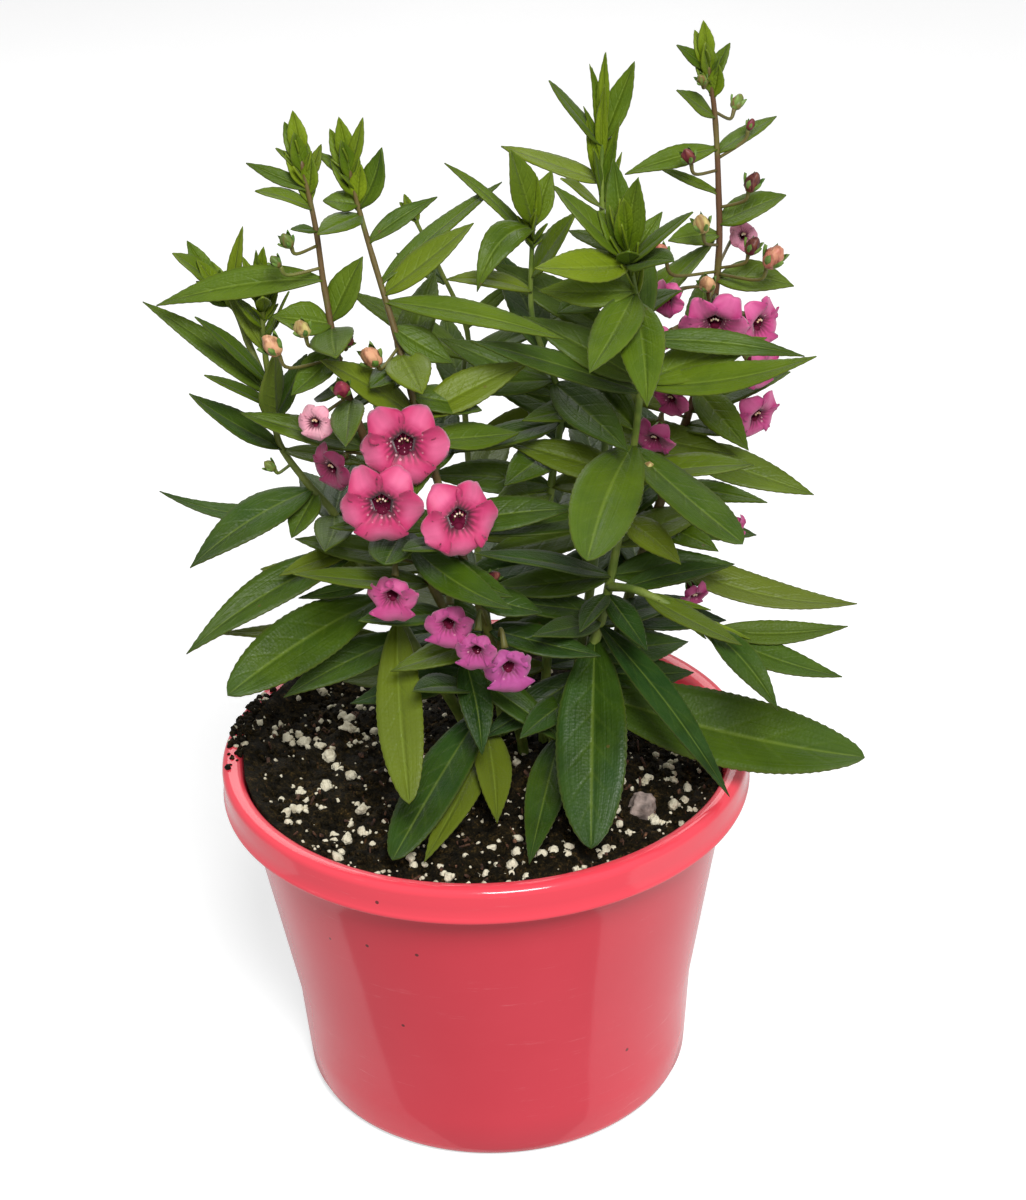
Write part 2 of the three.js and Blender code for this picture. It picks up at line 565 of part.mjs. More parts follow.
const pot = makePot();
const soil = makeSoil(SHOOTS.map(stemHole));
place("pot", pot);
place("soil", soil);
addMesh("pot", pot, coral);
addMesh("soil", soil, peat);
for (const { shoot, pieces } of grown) for (const piece of pieces) place(shoot.name, piece);

for (const { shoot, stem, pieces } of grown) {
  const stalks = pieces.length;
  for (const [at, across, up, behind, radius] of shoot.buds) {
    const centre = seen(across, up, behind);
    const Round = radius < BUD_RADIUS ? THREE.OctahedronGeometry : THREE.IcosahedronGeometry;
    const bud = solidOf(new Round(radius).translate(centre.x, centre.y, centre.z));
    const start = onStem(stem, at);
    const rise = centre.clone().sub(start).normalize().add(UP).normalize();
    pieces.push(pedicel(start, centre, rise, PEDICEL_RADIUS), bud);
  }
  shoot.blooms.forEach(([at, across, up, behind, turn, tilt, width], i) => {
    const throat = seen(across, up, behind);
    const bloom = makeBloom(throat, turn, tilt, width);
    const look = facing(turn, tilt);
    const seat = throat.clone().addScaledVector(look, -FUNNEL_LENGTH - BLOOM_SEAT);
    pieces.push(pedicel(onStem(stem, at), seat, look, CALYX_RADIUS));
    place(`${shoot.name}_bloom_${i + 1}`, bloom);
    addMesh(`${shoot.name}_bloom_${i + 1}`, bloom, pink);
  });
  for (const piece of pieces.slice(stalks)) place(shoot.name, piece);
}

const waiting = grown.map(({ shoot, stem, branch }, i) => ({
  name: shoot.name,
  list: [...leavesOf(stem, shoot, i), ...(branch ? leavesOf(branch, shoot.branch) : [])],
}));
for (const { name, list } of waiting) {
  const { pieces } = grown.find(({ shoot }) => shoot.name === name);
  for (const [base, tip, shape, crowded] of list) {
    const leaf = clearLeaf(name, base, tip, shape, crowded);
    if (!leaf) continue;
    place(name, leaf);
    pieces.push(leaf);
  }
  addMesh(name, joined(pieces), green);
}

export default plant;
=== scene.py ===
import math
import random

import bmesh
import bpy
from mathutils import Matrix, Vector, kdtree, noise


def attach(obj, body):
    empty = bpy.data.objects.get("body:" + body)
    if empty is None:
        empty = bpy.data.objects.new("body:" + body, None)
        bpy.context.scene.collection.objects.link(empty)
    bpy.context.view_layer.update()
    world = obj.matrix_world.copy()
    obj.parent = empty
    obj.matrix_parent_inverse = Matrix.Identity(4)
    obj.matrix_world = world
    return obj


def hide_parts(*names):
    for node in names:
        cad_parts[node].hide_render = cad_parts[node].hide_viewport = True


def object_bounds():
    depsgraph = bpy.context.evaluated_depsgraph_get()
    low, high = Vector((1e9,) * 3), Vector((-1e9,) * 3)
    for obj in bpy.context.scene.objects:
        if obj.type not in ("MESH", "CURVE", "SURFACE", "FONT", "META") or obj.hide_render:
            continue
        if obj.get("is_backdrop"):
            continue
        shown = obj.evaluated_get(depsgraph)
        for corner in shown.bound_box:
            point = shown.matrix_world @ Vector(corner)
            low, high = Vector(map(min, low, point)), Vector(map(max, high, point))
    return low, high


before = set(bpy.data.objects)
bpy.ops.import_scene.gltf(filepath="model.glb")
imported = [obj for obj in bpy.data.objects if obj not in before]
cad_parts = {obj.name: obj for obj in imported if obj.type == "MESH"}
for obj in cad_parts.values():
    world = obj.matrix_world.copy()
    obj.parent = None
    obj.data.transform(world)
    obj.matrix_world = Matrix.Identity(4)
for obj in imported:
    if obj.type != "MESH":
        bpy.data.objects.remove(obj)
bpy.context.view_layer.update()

# The pot
# One thin injection moulding of coral-coloured plastic with a semi-gloss skin: a turned-down lip at the
# top, a flat foot, and six drain holes in the floor. It stands on its foot.
MM = 0.001
POT_STEPS = 160
POT_WALL = [
    (0, 0), (25, 0), (49.2, 0), (50.6, 0.5), (51.7, 1.6), (52.6, 3.6), (53.3, 13), (54.3, 28), (58.6, 54),
    (63, 80), (64.3, 88.6), (64.7, 89.3), (65.4, 89.4), (69.0, 88.7), (69.6, 88.7), (69.9, 89.0),
    (70.0, 89.5), (69.8, 90.0), (69.6, 90.6), (69.5, 93), (69.7, 96.4), (69.6, 97.2), (69.2, 97.8),
    (68.6, 98.2), (67.4, 98.4), (65.8, 98.3), (65.0, 97.9), (64.5, 97.2), (62.7, 90), (61.3, 80),
    (56.9, 54), (52.6, 28), (51.4, 10), (51.0, 4.6), (50.2, 2.8), (48.8, 2.2), (25, 2.2), (0, 2.2),
]
SIDE_TOP = 88.6
LIP_BOTTOM = 89.3
DRAIN_RADIUS = 4.5
DRAIN_CIRCLE = 30
DRAIN_COUNT = 6
DRILL_LENGTH = 8
DIRT_SIZE = 0.5
DIRT_MARKS = [(-28.2, -63.5, 92.6), (-32.1, -52.6, 71.9), (-19.5, -58.6, 72.6)]


def colour(red, green, blue):
    """A colour as the eye reads it, 0 to 255, in the form that a shader takes."""
    parts = [part / 255 for part in (red, green, blue)]
    return (*[part / 12.92 if part <= 0.04045 else ((part + 0.055) / 1.055) ** 2.4 for part in parts], 1)


def put(tree, kind, inputs=(), **settings):
    """A shader node with its settings, and its sockets joined to others or filled."""
    made = tree.nodes.new("ShaderNode" + kind)
    for key, value in settings.items():
        setattr(made, key, value)
    for key, value in dict(inputs).items():
        if isinstance(value, bpy.types.NodeSocket):
            tree.links.new(value, made.inputs[key])
        else:
            made.inputs[key].default_value = value
    return made


def calc(tree, operation, *values, clamp=False):
    return put(tree, "Math", enumerate(values), operation=operation, use_clamp=clamp).outputs[0]


def mixed(tree, share, *shades):
    """Two colours mixed. Each is a socket, or red, green and blue as the eye reads them."""
    first, second = [colour(*shade) if isinstance(shade, tuple) else shade for shade in shades]
    return put(tree, "Mix", {0: share, 6: first, 7: second}, data_type="RGBA").outputs[2]


def tinted(tree, skin, mask, share, shade):
    """The skin's colour, with a share of another shade where the mask lies."""
    return mixed(tree, calc(tree, "MULTIPLY", mask, share), skin, shade)


def band(tree, value, low, high):
    """Rises smoothly from 0 to 1 while the value goes from low to high."""
    return put(tree, "MapRange", {0: value, 1: low, 2: high}, interpolation_type="SMOOTHSTEP").outputs[0]


def clouds(tree, scale, detail=2, place="Object", **more):
    """Noise over a piece, with one scale or with one for each axis."""
    vector = put(tree, "TexCoord").outputs[place]
    if isinstance(scale, tuple):
        vector, scale = put(tree, "Mapping", {"Vector": vector, "Scale": scale}).outputs[0], 1
    return put(tree, "TexNoise", {"Vector": vector, "Scale": scale, "Detail": detail, **more}).outputs[0]


def cells(tree, scale):
    place = put(tree, "TexCoord").outputs["Object"]
    return put(tree, "TexVoronoi", {"Vector": place, "Scale": scale}).outputs


def effect(name, **takes):
    """An effect that several finishes share, with its named inputs and the mask that it puts out."""
    tree = bpy.data.node_groups.new(name, "ShaderNodeTree")
    for label, value in takes.items():
        tree.interface.new_socket(label, in_out="INPUT", socket_type="NodeSocketFloat").default_value = value
    tree.interface.new_socket("Mask", in_out="OUTPUT", socket_type="NodeSocketFloat")
    return tree, tree.nodes.new("NodeGroupInput").outputs, tree.nodes.new("NodeGroupOutput").inputs["Mask"]


def use(tree, group, **values):
    made = tree.nodes.new("ShaderNodeGroup")
    made.node_tree = group
    for label, value in values.items():
        made.inputs[label].default_value = value
    return made.outputs["Mask"]


def new_finish(name, roughness, specular=0.5):
    material = bpy.data.materials.new(name)
    material.use_nodes = True
    shader = material.node_tree.nodes["Principled BSDF"]
    shader.inputs["Roughness"].default_value = roughness
    shader.inputs["Specular IOR Level"].default_value = specular
    return material, material.node_tree, shader


def dress(tree, shader, base, roughness=None, height=None, depth=0.3, strength=0.5):
    """Joins a finish's colour, roughness and relief to its shader."""
    tree.links.new(base, shader.inputs["Base Color"])
    if roughness is not None:
        tree.links.new(roughness, shader.inputs["Roughness"])
    if height is not None:
        relief = put(tree, "Bump", {"Strength": strength, "Distance": depth * MM, "Height": height})
        tree.links.new(relief.outputs[0], shader.inputs["Normal"])


# Patches of uneven tone, and small specks, that most of the finishes have.
patches, taken, mask = effect("patches", Scale=60, Low=0.35, High=0.65)
patches.links.new(band(patches, clouds(patches, taken["Scale"], 4), taken["Low"], taken["High"]), mask)

specks, taken, mask = effect("specks", Scale=200, Size=0.2, Share=0.3)
speck = cells(specks, taken["Scale"])
near = calc(specks, "LESS_THAN", speck["Distance"], taken["Size"])
picked = put(specks, "SeparateColor", {0: speck["Color"]}).outputs[0]
some = calc(specks, "LESS_THAN", picked, taken["Share"])
specks.links.new(calc(specks, "MULTIPLY", near, some), mask)


def solid(name, bm, *materials):
    """Turns a finished mesh into an object of the scene."""
    mesh = bpy.data.meshes.new(name)
    bm.to_mesh(mesh)
    bm.free()
    for material in materials:
        mesh.materials.append(material)
    made = bpy.data.objects.new(name, mesh)
    bpy.context.scene.collection.objects.link(made)
    return made


def keep(bm, name, materials, slot, *nodes):
    """Turns a finished mesh into a piece that rides on the pot and stands for its CAD nodes."""
    bmesh.ops.scale(bm, vec=(MM, MM, MM), verts=bm.verts)
    for face in bm.faces:
        face.smooth = True
    piece = solid(name, bm, *materials)
    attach(piece, "root")
    if nodes:
        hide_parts(*nodes)
    return piece


def spun(bm, profile, steps):
    """Spins an outline of radius and height round the pot's axis into a closed form."""
    verts = [bm.verts.new((radius, 0, height)) for radius, height in profile]
    edges = [bm.edges.new(pair) for pair in zip(verts, verts[1:])]
    bmesh.ops.spin(
        bm, geom=verts + edges, cent=(0, 0, 0), axis=(0, 0, 1), angle=2 * math.pi, steps=steps, use_merge=True
    )
    bmesh.ops.remove_doubles(bm, verts=bm.verts, dist=0.01)
    bmesh.ops.recalc_face_normals(bm, faces=bm.faces)


coral, tree, shader = new_finish("coral_plastic", 0.3, specular=0.6)
tone = use(tree, patches, Scale=14, Low=0.3, High=0.7)
scuff = band(tree, clouds(tree, (60, 60, 700), 5, Roughness=0.7), 0.6, 0.78)
scuff = calc(tree, "MULTIPLY", scuff, use(tree, patches, Scale=30))
place = put(tree, "TexCoord").outputs["Object"]
dirt = use(tree, specks, Scale=120, Size=0.07, Share=0.1)
for spot in DIRT_MARKS:
    gap = put(tree, "VectorMath", {0: place, 1: Vector(spot) * MM}, operation="DISTANCE").outputs["Value"]
    dirt = calc(tree, "MAXIMUM", dirt, calc(tree, "LESS_THAN", gap, DIRT_SIZE * MM))
height = put(tree, "SeparateXYZ", {0: place}).outputs[2]
skin = mixed(tree, tone, (214, 54, 70), (222, 62, 78))
# Painted highlight: the lip above the side is painted a lighter coral, for the light that it catches from
# above.
skin = mixed(tree, band(tree, height, SIDE_TOP * MM, LIP_BOTTOM * MM), skin, (240, 70, 86))
skin = tinted(tree, skin, scuff, 0.35, (245, 160, 165))
skin = tinted(tree, skin, dirt, 0.85, (70, 30, 25))
wear = calc(tree, "MULTIPLY_ADD", scuff, 0.2, calc(tree, "MULTIPLY_ADD", tone, 0.04, 0.1))
ripples = calc(tree, "MULTIPLY_ADD", clouds(tree, 900), 0.12, clouds(tree, 45))
dress(tree, shader, skin, wear, ripples, depth=0.2, strength=0.2)

bm = bmesh.new()
spun(bm, POT_WALL, POT_STEPS)
pot = keep(bm, "pot_moulding", [coral], "pot_plastic", "pot")

bm = bmesh.new()
for count in range(DRAIN_COUNT):
    turn = 2 * math.pi * (count + 0.5) / DRAIN_COUNT
    spot = Matrix.Translation((DRAIN_CIRCLE * math.cos(turn), DRAIN_CIRCLE * math.sin(turn), 1))
    bmesh.ops.create_cone(
        bm, cap_ends=True, segments=32, radius1=DRAIN_RADIUS, radius2=DRAIN_RADIUS,
        depth=DRILL_LENGTH, matrix=spot,
    )
bmesh.ops.scale(bm, vec=(MM, MM, MM), verts=bm.verts)
drill = solid("drain_drill", bm)
cut = pot.modifiers.new("drains", "BOOLEAN")
cut.object, cut.operation, cut.solver = drill, "DIFFERENCE", "EXACT"
bpy.context.view_layer.update()
drained = bpy.data.meshes.new_from_object(pot.evaluated_get(bpy.context.evaluated_depsgraph_get()))
pot.modifiers.clear()
pot.data = drained
bpy.data.objects.remove(drill)

# The potting mix
# Moist peat that fills the pot to just under the lip and is heaped up to it at the left, loose at its top,
# with grains of white perlite, a stone, chips of bark and crumbs of peat that lie in it and on it.
SOIL_TOP = 92
SOIL_RADIUS = 62.3
SOIL_WALL = [(0, 2.5), (49, 2.5), (50.7, 4.6), (52.3, 28), (61, 80), (62.2, 88)]
SOIL_RINGS = [62.4 - 0.8 * ring for ring in range(78)] + [0]
SOIL_STEPS = 260
MOUND_AT = (13, 2)
MOUND_HEIGHT = 2.2
MOUND_SPREAD = 500
LEFT_BANK = 4.6
EDGE_BANK = 3.4
STREWN_RADIUS = 60.5
CRUMBS = 3400
PERLITE = 230
WHITE_SPECKS = 520
CLUMP_GRAINS = 3
CHIPS = 170
STONE = [41.5, -10, 3.4]
LIP_TOP = 98.2
LIP_INSIDE = 65
SPILT = 420
SPILL_TURN = 166
SPILL_SPREAD = 7
SPILL_FROM = 61.5
SPILL_WIDTH = 7.1
# The largest grains of perlite, each [across, up, size] as it is seen.
CLUMPS = [
    [-53, 8, 1.5], [-50, 9, 1.2], [-48.5, 7, 1.7], [-44, 6, 1.3], [-42, 3, 1.8], [-40, 0.5, 1.2],
    [-36, -2, 1.5], [-50, -11, 1.4], [-33, -11, 1.6], [-37, -19, 1.3], [-33, -17, 1.1], [-38, 14, 1.2],
    [-37, 11, 1.5], [45, -14, 1.3], [50, -10, 1.6], [43, -3, 1.4], [50, -3, 1.2], [32, -22, 1.5],
    [24, -27, 1.1], [-20, -24, 1.3], [-10, -29, 1.2], [6, -31, 1.0], [38, -17, 1.0],
]
# Mix and plant are laid out as they are seen from in front of the pot and above it. A place is how far
# across and up it is seen from a point on the pot's axis, and how far behind the axis it lies.
EYE_DISTANCE = 700
EYE_PITCH = math.radians(31.8)
EYE_ROLL = math.radians(-2.6)
AIM_HEIGHT = 90
SIGHT_UP = Vector((0, math.sin(EYE_PITCH), math.cos(EYE_PITCH)))
SIGHT_BACK = Vector((0, -math.cos(EYE_PITCH), math.sin(EYE_PITCH)))
EYE = Vector((0, 0, AIM_HEIGHT)) + SIGHT_BACK * EYE_DISTANCE


def graded(tree, value, *stops):
    """A colour that changes with a value, by stops that are [value, red, green, blue]."""
    made = put(tree, "ValToRGB", {0: value})
    marks = made.color_ramp.elements
    marks.remove(marks[1])
    marks[0].position, marks[0].color = stops[0][0], colour(*stops[0][1:])
    for place, *shade in stops[1:]:
        marks.new(place).color = colour(*shade)
    return made.outputs[0]


peat, tree, shader = new_finish("moist_peat", 0.9, specular=0.12)
coarse, fine = clouds(tree, 380, 6, Roughness=0.7), clouds(tree, 1500, 3, Roughness=0.7)
uneven = calc(tree, "MULTIPLY_ADD", fine, 0.5, calc(tree, "MULTIPLY_ADD", coarse, 0.7, -0.1))
ground = graded(tree, uneven, [0.36, 5, 4, 1], [0.5, 26, 21, 8], [0.6, 54, 43, 20], [0.7, 112, 86, 48])
fibre = band(tree, clouds(tree, (1800, 300, 900), 3), 0.66, 0.74)
ground = mixed(tree, fibre, ground, (84, 56, 34))
damp = calc(tree, "MULTIPLY_ADD", use(tree, patches, Scale=120), 0.3, 0.62)
dress(tree, shader, ground, damp, coarse, depth=2, strength=0.9)

perlite, tree, shader = new_finish("perlite", 0.85)
stain = use(tree, patches, Scale=330, Low=0.5, High=0.7)
white = tinted(tree, (226, 218, 192), stain, 0.6, (140, 124, 92))
dress(tree, shader, white, None, cells(tree, 1500)["Distance"], depth=0.5, strength=0.6)

bark, tree, shader = new_finish("bark", 0.8)
grain = clouds(tree, 700, 4, Distortion=1.5)
chip = graded(tree, grain, [0.3, 30, 18, 12], [0.55, 78, 48, 30], [0.75, 128, 88, 58])
dress(tree, shader, chip, None, grain, depth=0.6, strength=0.7)

stone, tree, shader = new_finish("stone", 0.7)
veined = clouds(tree, 400, 5)
grey = graded(tree, veined, [0.35, 96, 84, 78], [0.5, 142, 126, 118], [0.7, 180, 160, 150])
dress(tree, shader, grey, None, veined, depth=0.5)

# The draws and the noise that dents grains and buds start alike on each run.
SEED = 4711
draws = random.Random(SEED)
noise.seed_set(SEED)


def soil_height(x, y):
    """How high the mix is at a spot: mounded round the stems, lumpy, and banked up at the left edge."""
    mound = MOUND_HEIGHT * math.exp(-((x - MOUND_AT[0]) ** 2 + (y - MOUND_AT[1]) ** 2) / MOUND_SPREAD)
    lumps = 0.9 * math.sin(0.23 * x + 1) * math.cos(0.19 * y - 0.6) + 0.6 * math.sin(0.47 * x - 0.37 * y)
    left = max(0, (0.3 * y - 0.8 * x) / SOIL_RADIUS)
    edge = max(0, math.hypot(x, y) / SOIL_RADIUS - 0.8) / 0.2
    bank = LEFT_BANK * left ** 2 + EDGE_BANK * min(1, 1.6 * left) ** 2 * edge ** 1.5
    return SOIL_TOP + mound + lumps + bank


def seen(across, up, behind):
    """The place that is seen so far across and up, and lies so far behind the pot's axis."""
    x = across * math.cos(EYE_ROLL) - up * math.sin(EYE_ROLL)
    y = across * math.sin(EYE_ROLL) + up * math.cos(EYE_ROLL)
    ray = Vector((x, 0, 0)) + SIGHT_UP * y - SIGHT_BACK * EYE_DISTANCE
    return EYE + ray * ((behind - EYE.y) / ray.y)


def turned_at(spot):
    """A pose at a spot, with a turn of its own."""
    pose = Matrix.Translation(spot)
    for axis in "XYZ":
        pose = pose @ Matrix.Rotation(2 * math.pi * draws.random(), 4, axis)
    return pose


def strewn():
    """A spot on the potting mix, and a turn of its own."""
    radius, turn = STREWN_RADIUS * math.sqrt(draws.random()), 2 * math.pi * draws.random()
    x, y = radius * math.cos(turn), radius * math.sin(turn)
    return turned_at((x, y, soil_height(x, y)))


def lying_at(across, up):
    """The place on the potting mix that is seen so far across and up."""
    near, far = -80, 80
    while far - near > 0.05:
        middle = (near + far) / 2
        spot = seen(across, up, middle)
        near, far = (middle, far) if spot.z > soil_height(spot.x, spot.y) else (near, middle)
    return seen(across, up, near)


def grain_at(bm, pose, size, fineness):
    """A rough lump of mix: a ball that is stretched and dented by noise."""
    stretch = Matrix.Diagonal((size * draws.uniform(0.8, 1.3), size * draws.uniform(0.7, 1.1), size, 1))
    made = bmesh.ops.create_icosphere(bm, subdivisions=fineness, radius=1, matrix=pose @ stretch)["verts"]
    for vert in made:
        vert.co += 0.42 * size * noise.noise_vector(vert.co * (1.1 / size))
        vert.co += 0.16 * size * noise.noise_vector(vert.co * (2.9 / size))
    return made


def faces_of(verts):
    """The faces at some points, in the same order on each run."""
    return list(dict.fromkeys(face for vert in verts for face in vert.link_faces))


def set_finish(faces, number):
    """Gives some faces the finish that has this number in their piece."""
    for face in faces:
        face.material_index = number


bm = bmesh.new()
spun(bm, SOIL_WALL + [(radius, SOIL_TOP) for radius in SOIL_RINGS], SOIL_STEPS)
for vert in bm.verts:
    if vert.co.z > SOIL_TOP - 0.1:
        out = vert.co.xy.length
        rough = noise.fractal(vert.co * 0.45, 0.7, 2.2, 5) * min(1, (63 - out) / 6)
        vert.co.z = soil_height(vert.co.x, vert.co.y) + rough
        vert.co.xy *= 1 + 0.004 * max(0, vert.co.z - SOIL_TOP) * (out / SOIL_RADIUS) ** 4
keep(bm, "potting_mix_bed", [peat], "potting_mix", "soil")

bm = bmesh.new()
for count in range(CRUMBS):
    grain_at(bm, strewn(), 0.3 + 0.9 * draws.random() ** 2, 1)
keep(bm, "peat_crumbs", [peat], "potting_mix")

bm = bmesh.new()
for count in range(PERLITE):
    grain_at(bm, strewn(), 0.75 + 0.9 * draws.random() ** 2.5, 2)
for count in range(WHITE_SPECKS):
    grain_at(bm, strewn(), draws.uniform(0.25, 0.6), 1)
for across, up, size in CLUMPS:
    middle = lying_at(across, up) + Vector((0, 0, 0.4 * size))
    grain_at(bm, turned_at(middle), size, 3)
    for count in range(CLUMP_GRAINS):
        shift = Vector((draws.gauss(0, 0.9), draws.gauss(0, 0.9), draws.uniform(-0.5, 0.1))) * size
        grain_at(bm, turned_at(middle + shift), draws.uniform(0.4, 0.75) * size, 2)
keep(bm, "perlite_grains", [perlite], "potting_mix")

bm = bmesh.new()
for count in range(SPILT):
    turn = math.radians(draws.gauss(SPILL_TURN, SPILL_SPREAD))
    radius = SPILL_FROM + SPILL_WIDTH * draws.random() ** 1.2
    size = draws.uniform(0.35, 1.2)
    high = LIP_TOP - 0.6 * max(0, LIP_INSIDE - radius)
    spot = (radius * math.cos(turn), radius * math.sin(turn), high + 0.3 * size)
    set_finish(faces_of(grain_at(bm, turned_at(spot), size, 1)), int(count % 9 == 0))
keep(bm, "crumbs_on_lip", [peat, perlite], "potting_mix")

bm = bmesh.new()
across, up, size = STONE
grain_at(bm, turned_at(lying_at(across, up)), size, 4)
keep(bm, "stone_in_mix", [stone], "potting_mix")

bm = bmesh.new()
for count in range(CHIPS):
    long, wide = draws.uniform(1.6, 5), draws.uniform(0.5, 1.3)
    stretch = Matrix.Diagonal((long, wide, 0.6 * wide, 1))
    bmesh.ops.create_cube(bm, size=1, matrix=strewn() @ stretch)
bmesh.ops.bevel(
    bm, geom=bm.edges[:], offset=0.14, offset_type="OFFSET", affect="EDGES",
    segments=1, profile=0.5, material=-1,
)
for vert in bm.verts:
    vert.co += 0.25 * noise.noise_vector(vert.co * 0.9)
keep(bm, "bark_chips", [bark], "potting_mix")

# The stems
# Eight slender shoots, each green and softly ridged, that flush dark red where they carry flowers. They
# stand in holes in the mix, and a branch grows out of its shoot.
UP = Vector((0, 0, 1))
STEM_DEPTH = 24
STEM_FOOT = 5
RED_FROM = 110
RED_RISE = 60

